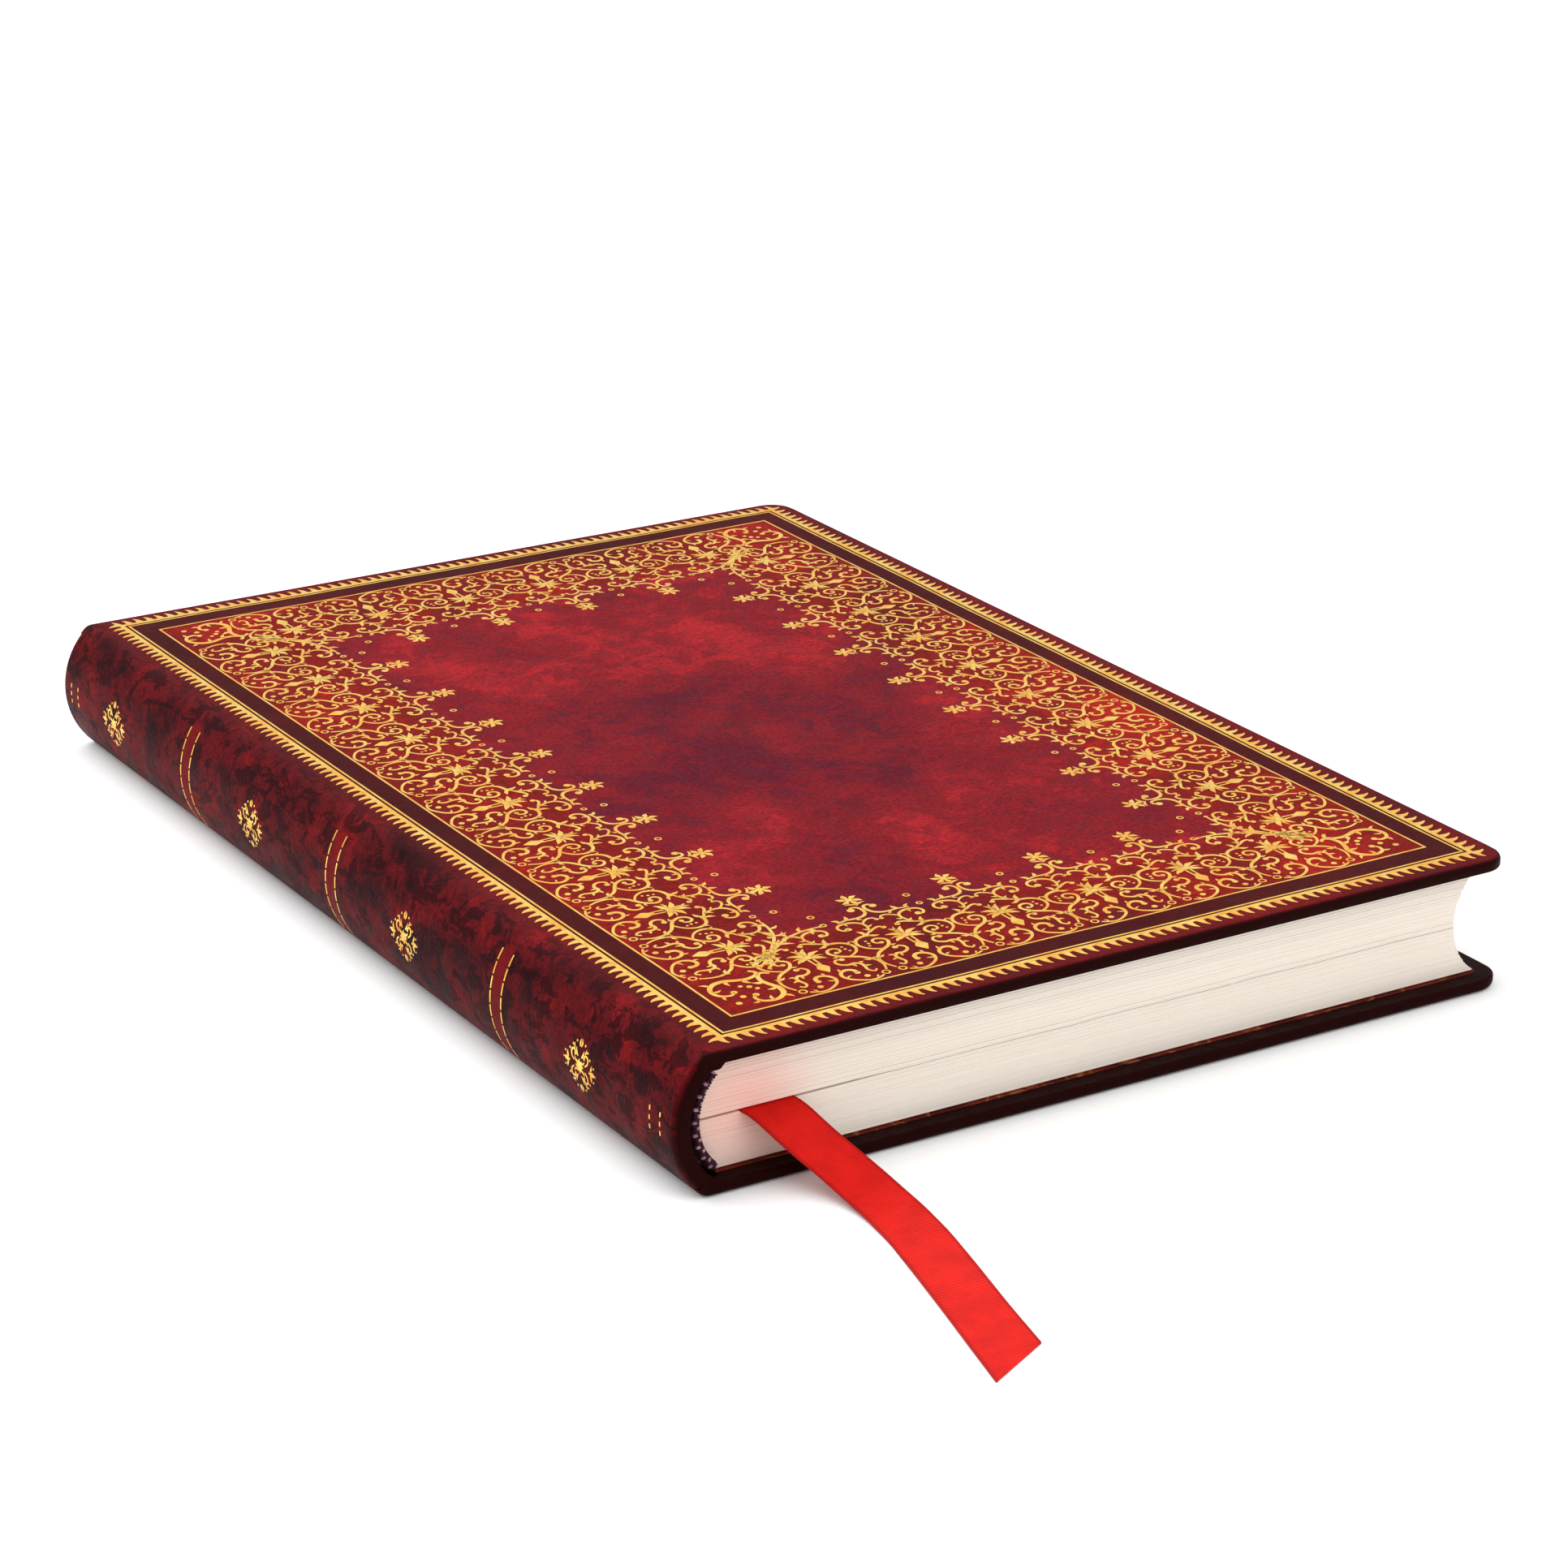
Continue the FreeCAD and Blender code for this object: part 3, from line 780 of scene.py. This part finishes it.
def half_cell(top_curl, lobe):
    """Half of one repeat of the border: s from the dart's line, d in from the thin line."""
    parts = stroke([(5.2, 1.2), (4.2, 0.7), (3.1, 0.6), (2, 1.1), (1.1, 1.8), (0.6, 2.7),
                    (0.6, 3.5), (1.1, 4.3), (2, 4.6), (2.7, 4.1), (2.75, 3.3)],
                   (0.24, 0.34, 0.5), 0.36)
    parts += [dot((3.3, 1.9), 0.36), ring((5.85, 1.75), 0.48), leaf((1.3, 4.4), (1.2, 5.3), 0.4),
              leaf((0.8, 2.3), (1.7, 2.9), 0.34), leaf((4.3, 0.75), (4.6, 1.6), 0.34)]
    parts += stroke([(6.3, 2.4), (6.85, 3.8), (6.9, 5.1), (6.5, 6.2), (5.7, 7.2), (4.6, 7.9),
                     (3.5, 8.6), (2.8, 9.9), (3.2, 10.8), (4.05, 11.05), (4.6, 10.5),
                     (4.4, 9.8), (3.8, 9.7)], (0.24, 0.42, 0.28), 0.3)
    parts += stroke([(4.2, 12.5), (5.4, 12.3), (6.35, 11.6), (6.75, 10.4), (6.35, 9.2),
                     (5.5, 8.4), (4.7, 8.0)], (0.42, 0.36, 0.24))
    parts += [leaf((6.6, 6.0), (5.6, 6.4), 0.5), leaf((3.4, 8.7), (2.5, 8.5), 0.42),
              leaf((6.6, 11.0), (7.0, 12.0), 0.42), leaf((3.0, 13.4), (3.6, 14.4), 0.42)]
    parts += [dot((5.35, 10.2), 0.2), dot((5.6, 9.5), 0.17), dot((5.3, 10.95), 0.17)]
    parts += [dot((4.15, 12.6), 0.42), leaf((4.3, 12.7), (4.7, 14.1)),
              leaf((4.0, 12.5), (2.7, 11.9)), leaf((6.8, 5.2), (7.0, 6.4), 0.45)]
    parts += stroke([(4.1, 12.8), (3.1, 13.3), (2.2, 13.9), (1.4, 14.1), (1.0, 13.6)],
                    (0.24, 0.34, 0.3), 0.34)
    parts += stroke([(5.4, 3.2), (4.9, 2.7), (4.35, 3.4), (4.55, 4.4), (4.6, 5.3), (4.0, 5.9),
                     (3.1, 5.8), (2.25, 6.3), (2.0, 7.1), (2.5, 7.8), (3.2, 7.6)],
                    (0.24, 0.42, 0.28), 0.36)
    parts += [leaf((3.4, 5.8), (3.7, 4.9), 0.45), leaf((4.6, 4.6), (5.5, 4.4), 0.45),
              leaf((4.5, 5.6), (5.3, 5.9), 0.45)]
    parts += [leaf((0.3, 9.8), (2.0, 9.0), 0.8), leaf((0.3, 10.3), (2.2, 11.4), 0.85),
              leaf((0.2, 10.8), (0.9, 12.8), 0.75), leaf((0.3, 10.0), (2.2, 10.1), 0.4)]
    parts += stroke([(0.36, 9.5), (0.34, 8.4), (0.3, 7.3)], (0.26, 0.2, 0.26))
    if top_curl:
        parts += stroke([(3.3, 13.2), (2.7, 14.5), (2.65, 15.7), (3.3, 16.6), (4.5, 17),
                         (5.7, 16.7), (6.15, 15.8), (5.7, 15.0), (5.1, 15.2)],
                        (0.24, 0.38, 0.3), 0.42)
        parts += [leaf((2.7, 14.8), (1.8, 15.1), 0.42), leaf((4.4, 17.0), (4.6, 16.1), 0.4)]
        parts += stroke([(2.65, 15.8), (2, 16.5), (1.3, 16.9), (0.6, 16.8), (0.35, 16.2)],
                        (0.24, 0.3, 0.24), 0.28)
    if lobe:
        parts += stroke([(5.2, 17.5), (3.8, 17.8), (2.4, 17.7), (1.3, 17.9), (0.5, 18.6),
                         (0.25, 19.8), (0.55, 20.7), (1.3, 20.8), (1.6, 20.2)],
                        (0.24, 0.4, 0.3), 0.46)
        parts += [leaf((3.9, 17.8), (3.4, 19.0)), leaf((4.8, 17.6), (5.6, 18.5)),
                  leaf((2.5, 17.7), (1.9, 17.0), 0.45), leaf((0.1, 21.4), (1.5, 21.9), 0.42)]
    return joined(parts)


def dart(lobe):
    """What stands on the middle line of a repeat: a dart, and a flower on its lobe."""
    parts = stroke([(0, 8.0), (0, 7.4), (0, 6.9), (0, 6.1), (0, 5.1)], (0.3, 1.5, 0.1))
    parts += [dot((0, 10.2), 0.5), leaf((0, 10.4), (0, 13.1), 0.6)]
    if lobe:
        parts += flower((0, 23.2), 1.7, 6) + stroke([(0, 21.2), (0, 21.9)], (0.2, 0.3, 0.2))
    return joined(parts)


def corner_scroll():
    """Half of a corner: u and v along the two thin lines, mirrored about the diagonal."""
    parts = stroke([(10.4, 8.5), (9.6, 9.1), (8.8, 8.6), (8.4, 7.2), (8.7, 5.8), (9.2, 4.4),
                    (9.0, 2.9), (8.1, 1.9), (6.9, 1.5), (5.6, 2.0), (5.2, 3.2), (5.8, 3.9)],
                   (0.4, 0.62, 0.34), 0.4)
    parts += [leaf((8.6, 6.6), (7.1, 7.1), 0.7), leaf((9.1, 4.6), (7.7, 4.5), 0.6),
              leaf((8.6, 2.2), (9.5, 1.2), 0.5), leaf((7.0, 1.6), (7.2, 2.9), 0.5),
              leaf((5.4, 2.3), (4.3, 2.0), 0.5), dot((6.9, 5.4), 0.28)]
    parts += stroke([(11.0, 9.6), (12.2, 10.8), (12.6, 12.2), (12.2, 13.4), (11.2, 13.2),
                     (11.0, 12.2)], (0.3, 0.5, 0.3), 0.34)
    parts += stroke([(14.6, 14.4), (15.9, 15.4), (17.6, 16.6), (19.6, 17.4), (21.6, 17.8),
                     (23.4, 17.8)], (0.4, 0.36, 0.2), 0.26)
    parts += [leaf((16.0, 15.4), (17.8, 14.8), 0.6),
              leaf((18.0, 16.8), (19.6, 16.0), 0.6), leaf((18.2, 17.0), (18.4, 18.8), 0.6),
              leaf((20.4, 17.6), (21.0, 19.0), 0.6), leaf((21.2, 17.7), (22.4, 16.8), 0.6)]
    return joined(parts)


def diagonal_scroll():
    """What stands on a corner's diagonal."""
    parts = [dot((6.3, 6.3), 0.34), dot((4.2, 4.2), 0.36), dot((2.8, 2.8), 0.38)]
    parts += stroke([(10.4, 10.4), (12.4, 12.4), (14.4, 14.4), (16.8, 16.8)], (0.2, 0.4, 0.2))
    parts += flower((13.4, 13.4), 1.15, 6)
    return joined(parts)


def laid(shape, origin, first, second):
    """A drawn shape put down with its two directions and its origin in a cover's plane."""
    points, faces = shape
    flat = np.array(origin) + points[:, :1] * np.array(first) + points[:, 1:2] * np.array(second)
    points = np.concatenate([flat, points[:, 2:]], 1)
    return points, facing_out(points, faces)


def border_side(middle, along, inward, count, pitch):
    """One side of the border: a row of repeats, the end ones without their lobes."""
    parts = []
    for number in range(count):
        offset = (number - (count - 1) / 2) * pitch
        origin = np.array(middle) + np.array(along) * offset
        end = number in (0, count - 1)
        parts.append(laid(DARTS[not end], origin, along, inward))
        for side in (-1, 1):
            outermost = end and side * offset > 0
            kind = "outer" if outermost else "plain" if end else "lobed"
            parts.append(laid(HALF_CELLS[kind], origin, np.array(along) * side, inward))
        if number + 1 < count:
            for deep, small in ((17.9, 0.36), (20.9, 0.4)):
                between = origin + np.array(along) * pitch / 2 + np.array(inward) * deep
                parts.append(laid(ring((0, 0), small), between, along, inward))
    return parts


def frame_line(x, y, width):
    """A line of gold round a rectangle, as four bars with mitred ends that meet."""
    parts = []
    middle = (x[0] + x[1]) / 2
    for half_length, distance, along, inward in (
            ((x[1] - x[0]) / 2, y, (1, 0), (0, -1)), ((x[1] - x[0]) / 2, y, (-1, 0), (0, 1)),
            (y, (x[1] - x[0]) / 2, (0, 1), (-1, 0)), (y, (x[1] - x[0]) / 2, (0, -1), (1, 0))):
        share = np.linspace(-1, 1, 70)
        inner = np.stack([share * (half_length - width), np.full(70, -distance + width)], 1)
        outer = np.stack([share * half_length, np.full(70, -distance)], 1)
        edges = np.stack([outer, inner], 1)
        grids = [np.concatenate([edges, np.full((70, 2, 1), h)], -1) for h in GOLD_RISE]
        bar = closed_sheet(grids[1], grids[0])
        parts.append(laid(bar, (middle, 0), along, (-inward[0], -inward[1])))
    return parts


def flame_row(middle, along, outward, length, count):
    """A row of small flames standing outwards on the gold band."""
    parts = []
    pitch = length / count
    flame = joined(stroke([(-0.05, -0.1), (0, 0.5), (0.12, 1.1), (0.42, 1.65)],
                          (0.92, 0.56, 0.12)))
    for number in range(count + 1):
        origin = np.array(middle) + np.array(along) * (number - count / 2) * pitch
        parts.append(laid(flame, origin, along, outward))
    return parts


def sides_of(x, y):
    """The four sides of a rectangle: middle, direction along, direction inwards, length."""
    middle_x = (x[0] + x[1]) / 2
    return (((middle_x, -y), (1, 0), (0, 1), x[1] - x[0]),
            ((middle_x, y), (-1, 0), (0, -1), x[1] - x[0]),
            ((x[1], 0), (0, 1), (-1, 0), 2 * y),
            ((x[0], 0), (0, -1), (1, 0), 2 * y))


def cover_gold():
    """The tooling of a cover in four parts: frames, border along ends, along sides, corners."""
    frames = frame_line(LINE_X, LINE_Y, 0.28) + frame_line(BAND_X, BAND_Y, 0.66)
    inset = 1.02
    frames += frame_line((BAND_X[0] + inset, BAND_X[1] - inset), BAND_Y - inset, 0.3)
    for middle, along, inward, length in sides_of(BAND_X, BAND_Y):
        outward = (-inward[0], -inward[1])
        frames += flame_row(middle, along, outward, length, round(length / 1.68))
    sides = sides_of(LINE_X, LINE_Y)
    ends = border_side(*sides[0][:3], 6, 14.05) + border_side(*sides[1][:3], 6, 14.05)
    lengths = border_side(*sides[2][:3], 10, 14.3) + border_side(*sides[3][:3], 10, 14.3)
    corner_parts = []
    for corner_x, first in ((LINE_X[0], (1, 0)), (LINE_X[1], (-1, 0))):
        for corner_y, second in ((-LINE_Y, (0, 1)), (LINE_Y, (0, -1))):
            origin = (corner_x, corner_y)
            corner_parts.append(laid(CORNER_SCROLL, origin, first, second))
            corner_parts.append(laid(CORNER_SCROLL, origin, second, first))
            corner_parts.append(laid(DIAGONAL_SCROLL, origin, first, second))
    return {"gold_frames": joined(frames), "gold_end_borders": joined(ends),
            "gold_side_borders": joined(lengths), "gold_corners": joined(corner_parts)}


def make_cover_gold():
    """Lays the tooling on both covers, following the leather's surface."""
    for name, (points, faces) in cover_gold().items():
        depth = leather_depth(points[:, 0], points[:, 1]) - points[:, 2]
        for side, front in (("front", True), ("back", False)):
            z = THICKNESS - depth if front else depth
            raised = np.concatenate([points[:, :2], z[:, None]], 1)
            shape = (raised, facing_out(raised, faces))
            piece = add_piece(side + "_" + name, shape, GOLD, False)
            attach(piece, side + "_cover")


def spine_ornament():
    """A quarter of the diamond-shaped ornament of the spine."""
    parts = stroke([(0.4, 1.3), (0.9, 1.9), (1.6, 1.9), (1.75, 1.3), (1.3, 1.05)],
                   (0.16, 0.24, 0.18), 0.18)
    parts += [leaf((1.2, 0.4), (2.2, 0.9), 0.42), leaf((0.4, 0.5), (1.0, 1.2), 0.3),
              leaf((1.9, 1.2), (2.6, 1.4), 0.3)]
    parts += [leaf((0.1, 2.3), (0.1, 3.9), 0.42), leaf((2.5, 0.1), (3.5, 0.1), 0.4),
              leaf((0.3, 2.6), (1.1, 2.9), 0.4), dot((1.6, 2.4), 0.14), dot((2.3, 1.75), 0.14),
              dot((2.95, 1.0), 0.14), dot((0.9, 3.4), 0.13)]
    return joined(parts)


def dash(start, length, y, points):
    """A short straight line of gold across the spine."""
    path = np.stack([np.linspace(start, start + length, points), np.full(points, y)], 1)
    return ribbon_of_gold(path, np.full(points, 0.26))


def spine_gold():
    """The spine's tooling: dashed lines beside the red bands, and dotted diamonds between."""
    parts = []
    for band in (-SPINE_BAND_Y, 0, SPINE_BAND_Y):
        for line in (band - SPINE_BAND_HALF, band + SPINE_BAND_HALF):
            parts += [dash(start, 1.6, line, 5) for start in np.arange(-7.8, 7.0, 1.9)]
    for middle in (-1.5, -0.5, 0.5, 1.5):
        centre = np.array([0.0, middle * SPINE_BAND_Y + 1.8])
        for across in (-1, 1):
            for along in (-1, 1):
                parts.append(laid(SPINE_ORNAMENT, centre, (across, 0), (0, along)))
        parts += flower(centre, 0.95, 8)
    for end in (-1, 1):
        for line in (84.2, 86.6):
            parts += [dash(spot, 0.6, end * line, 4) for spot in (-1.4, -0.2, 1.0)]
    points, faces = joined(parts)
    angle = points[:, 0] / SPINE_RADIUS
    radius = SPINE_RADIUS - SINK + points[:, 2]
    points = np.stack([SPINE_X - radius * np.cos(angle), points[:, 1],
                       MIDDLE_Z + radius * np.sin(angle)], 1)
    return points, facing_out(points, faces)


def make_spine_gold():
    """Lays the tooling on the spine, bent round its curve."""
    piece = add_piece("spine_gold", spine_gold(), GOLD, False)
    bend_with_spine(piece)


# ---------------------------------------------------------------- the ribbon marker

def ribbon_stations():
    """Where the ribbon's middle runs, and its turn, from the head to its free end."""
    inside = SPINE_X - 2.6
    tail = -HEAD_Y
    leaf_tail = -LEAF_END_Y
    resting = 0.12
    return np.array([
        (inside, LEAF_END_Y - 0.5, MARKER_Z, 0),
        (inside + 1.8, 0, MARKER_Z, 1),
        (inside + 4.3, leaf_tail + 2, MARKER_Z, 2),
        (inside + 4.9, leaf_tail - 0.3, MARKER_Z, 3),
        (inside + 5.5, leaf_tail - 1.0, MARKER_Z - 0.3, 3),
        (inside + 6.3, tail + 0.2, MARKER_Z - 1.5, 3.5),
        (inside + 7.8, tail - 2.5, MARKER_Z * 0.6, 3),
        (inside + 9.6, tail - 5.1, MARKER_Z * 0.37, 1.5),
        (inside + 10.7, tail - 8.0, MARKER_Z * 0.21, -1),
        (inside + 11.2, tail - 10.2, resting + 0.9, -3),
        (inside + 11.4, tail - 14.6, resting + 0.25, -6),
        (inside + 10.6, tail - 21.0, resting, -10),
        (inside + 8.8, tail - 29.0, resting, -13),
        (inside + 6.9, tail - 37.0, resting, -15),
        (inside + 5.0, tail - 45.0, resting, -16),
        (inside + 3.5, tail - 51.5, resting, -16),
    ])


def make_ribbon():
    """The ribbon: its cross-sections swept along the stations, slanted off at the free end."""
    stations = ribbon_stations()
    spans = np.linalg.norm(np.diff(stations[:, :3], axis=0), axis=1)
    along = np.concatenate([[0], np.cumsum(spans)])
    fine = np.concatenate([np.linspace(0, along[3] - 3, 20), np.linspace(along[3] - 2.5,
                                                                        along[-1], 110)])
    x, y, z, turn = (np.interp(fine, along, stations[:, k]) for k in range(4))
    kernel = np.hanning(13)[1:-1] / np.hanning(13).sum()
    free = np.arange(len(fine)) > 22
    for values in (x, y, z, turn):
        eased = np.convolve(np.pad(values, 5, mode="reflect", reflect_type="odd"), kernel, "valid")
        values[free] = eased[free]
    share = np.linspace(-1, 1, 21)
    cut = np.clip((fine - fine[-1] + 14) / 14, 0, 1)[:, None] * share[None, :] * 3.6
    angle = np.radians(turn)[:, None]
    across = share[None, :] * RIBBON_WIDTH / 2
    grids = []
    for rise in (RIBBON_THICKNESS / 2, -RIBBON_THICKNESS / 2):
        px = x[:, None] + across * np.cos(angle) - cut * np.sin(angle)
        py = y[:, None] + across * np.sin(angle) + cut * np.cos(angle)
        pz = np.repeat(z[:, None], 21, 1) + rise
        grids.append(np.stack([px, py, pz], -1))
    v = np.repeat(fine[:, None], 21, 1).reshape(-1) * MM
    u = np.repeat(share[None, :], len(fine), 0).reshape(-1)
    piece = add_piece("ribbon", closed_sheet(*grids), RIBBON_SATIN, along=np.tile(v, 2),
                      across=np.tile(u, 2))
    sharpen(piece, 50)
    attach(piece, "text_block")
    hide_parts("ribbon_marker")


# ---------------------------------------------------------------- the leaves

LEAVES_IN_GATHERING = 6


def back_x(z):
    """The rounded back of the leaves at a height."""
    return SPINE_X - np.sqrt(np.maximum(BACK_RADIUS ** 2 - (z - MIDDLE_Z) ** 2, 0))


def leaf_wave(x, y, z):
    """The shared unevenness of the leaves: least at the covers, and none at the back."""
    share = np.clip((z - LEAVES_BOTTOM) / (LEAVES_TOP - LEAVES_BOTTOM), 0, 1)
    room = 4 * share * (1 - share)
    away = np.clip((x - SPINE_X) / 40, 0, 1)
    return 0.05 * room * away * (np.sin(x * 0.31 + 0.4) + 0.6 * np.sin(x * 0.83 + y * 0.05))


def closing(x, z):
    """How far the leaves beside the marker lean together, away from the ribbon."""
    near = np.clip(1 - abs(z - MARKER_Z) / 1.2, 0, 1)
    away = np.clip((x + 39) / 10, 0, 1)
    return 0.13 * np.sign(MARKER_Z - z) * near * away * away * (3 - 2 * away)


def gathering_leaves(low, high, rng):
    """The leaves of one gathering, each a thin closed sheet, cut a hair unevenly."""
    edges = np.linspace(low, high, LEAVES_IN_GATHERING + 1)
    gap = (edges[1] - edges[0]) * 0.012
    parts = []
    for bottom, top in zip(edges[:-1], edges[1:]):
        fold, fore, tail, head = rng.uniform(-0.05, 0.05, 4) * (1.0, 1.6, 0.8, 1.2)
        middle = (bottom + top) / 2
        x = back_x(middle) + fold + np.linspace(0, LEAF_WIDTH + fore - fold, 26)
        y = np.array([-LEAF_END_Y - tail, -LEAF_END_Y / 3, LEAF_END_Y / 3, LEAF_END_Y + head])
        across, along = np.meshgrid(x, y, indexing="ij")
        wave = leaf_wave(across, along, middle) + closing(across, middle)
        grids = [np.stack([across, along, z + wave], -1) for z in (top - gap, bottom + gap)]
        parts.append(closed_sheet(*grids))
    return joined(parts)


def make_leaves():
    """Puts the leaves of every gathering in place."""
    rng = np.random.default_rng(7)
    for body in ("text_block", "upper_leaves"):
        for node in sorted(n for n in frame["record"]["behaviour"]["bodies"][body]
                           if n.startswith("signature")):
            low, high = corners(node)
            shape = gathering_leaves(low[2], high[2], rng)
            piece = add_piece(node.replace("signature", "leaves"), shape, LEAF_PAPER, False)
            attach(piece, body)
            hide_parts(node)


def endpaper_folds():
    """The fold of each endpaper, from the free flyleaf's back edge to the pastedown's.

    A narrow wall of paper.
    """
    for side, block, cover in (("front", "upper_leaves", "front_cover"),
                               ("back", "text_block", "back_cover")):
        leaf_low, leaf_high = corners(side + "_flyleaf")
        paste_low, paste_high = corners(side + "_pastedown")
        leaf_z = leaf_high[2] if side == "back" else leaf_low[2]
        paste_z = paste_low[2] if side == "back" else paste_high[2]
        y = np.linspace(leaf_low[1] + 0.2, leaf_high[1] - 0.2, 40)
        share = np.linspace(0, 1, 12)
        x = leaf_low[0] + 0.3 - 0.45 * np.sin(math.pi * share) + 0.3 * share
        z = leaf_z + (paste_z - leaf_z) * share
        grids = []
        for thickness in (0, 0.1):
            rows = np.stack([x - thickness, z], 1)[:, None, :].repeat(len(y), 1)
            grids.append(np.stack([rows[..., 0], np.tile(y, (12, 1)), rows[..., 1]], -1))
        piece = add_piece(side + "_endpaper_fold", closed_sheet(*grids), ENDPAPER)
        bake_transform(piece)


def dress_carried_nodes():
    """Gives the nodes that keep their own shape their finish."""
    finishes = {
        "front_board": BOARD, "back_board": BOARD, "front_infill": CARD, "back_infill": CARD,
        "front_pastedown": ENDPAPER, "back_pastedown": ENDPAPER,
        "front_flyleaf": ENDPAPER, "back_flyleaf": ENDPAPER,
        "sewing_thread_lower": LINEN, "sewing_thread_upper": LINEN,
    }
    for name, material in finishes.items():
        mesh = frame["nodes"][name].data
        mesh.materials.clear()
        mesh.materials.append(material)


# ---------------------------------------------------------------- the room

def make_room():
    """A pale floor and soft light from all round."""
    material, n, shader = new_material("floor")
    finish(n, shader, (0.93, 0.93, 0.93, 1), 0.9, 0.1)
    side = np.array([-6000.0, 6000.0])
    x, y = np.meshgrid(side, side, indexing="ij")
    top = np.stack([x, y, np.zeros_like(x) - 0.02], -1)
    floor = add_piece("floor", closed_sheet(top, top - (0, 0, 10)), material, False)
    world = bpy.data.worlds.new("soft room")
    bpy.context.scene.world = world
    world.use_nodes = True
    n = Nodes(world.node_tree)
    sky = world.node_tree.nodes["Background"]
    sky.inputs["Color"].default_value = (1, 1, 1, 1)
    up = n.add("ShaderNodeSeparateXYZ", Vector=n.add("ShaderNodeTexCoord").outputs["Generated"])
    n.join(n.between(up.outputs[2], 0.15, 0.75, 0.5, 1.34), sky.inputs["Strength"])
    add_light("key", 1.2, (-0.5, 0.5, 0.9), 9.0)
    add_light("fill", 1.0, (0.35, -0.9, 0.55), 3.0)


def add_light(name, size, position, power):
    """A square soft lamp that looks at the origin."""
    light = bpy.data.lights.new(name, "AREA")
    light.size = size
    light.energy = power
    lamp = bpy.data.objects.new(name, light)
    lamp.location = position
    aim = -np.array(position) / np.linalg.norm(position)
    lamp.rotation_euler = direction_turn(aim)
    bpy.context.scene.collection.objects.link(lamp)


def direction_turn(aim):
    """The turn that points a lamp's or camera's -Z along a direction."""
    return Vector(aim).to_track_quat("-Z", "Y").to_euler()


def make_camera():
    """The camera, set by where it looks, from which side, how high and how far."""
    azimuth, elevation, roll = (math.radians(a) for a in (-31.469, 20.761, 0.13))
    target = np.array([20.795, 21.293, 0.0]) * MM
    distance = 0.63281
    back = np.array([math.sin(azimuth) * math.cos(elevation),
                     -math.cos(azimuth) * math.cos(elevation), math.sin(elevation)])
    right = np.array([math.cos(azimuth), math.sin(azimuth), 0.0])
    up = np.cross(back, right)
    right, up = (right * math.cos(roll) + up * math.sin(roll),
                 up * math.cos(roll) - right * math.sin(roll))
    camera = bpy.data.cameras.new("camera")
    camera.sensor_width = 36.0
    camera.lens = 100.23
    camera.clip_start = 0.01
    holder = bpy.data.objects.new("camera", camera)
    matrix = np.eye(4)
    matrix[:3, :3] = np.stack([right, up, back], 1)
    matrix[:3, 3] = target + back * distance
    holder.matrix_world = Matrix(matrix.tolist())
    bpy.context.scene.collection.objects.link(holder)
    bpy.context.scene.camera = holder
    bpy.context.scene.view_settings.view_transform = "Standard"


make_room()
make_camera()
HALF_CELLS = {"outer": half_cell(False, False), "plain": half_cell(True, False),
              "lobed": half_cell(True, True)}
DARTS = {True: dart(True), False: dart(False)}
CORNER_SCROLL = corner_scroll()
DIAGONAL_SCROLL = diagonal_scroll()
SPINE_ORNAMENT = spine_ornament()

make_covers()
make_spine()
make_end_bands()
make_leaves()
endpaper_folds()
make_cover_gold()
make_spine_gold()
make_ribbon()
dress_carried_nodes()
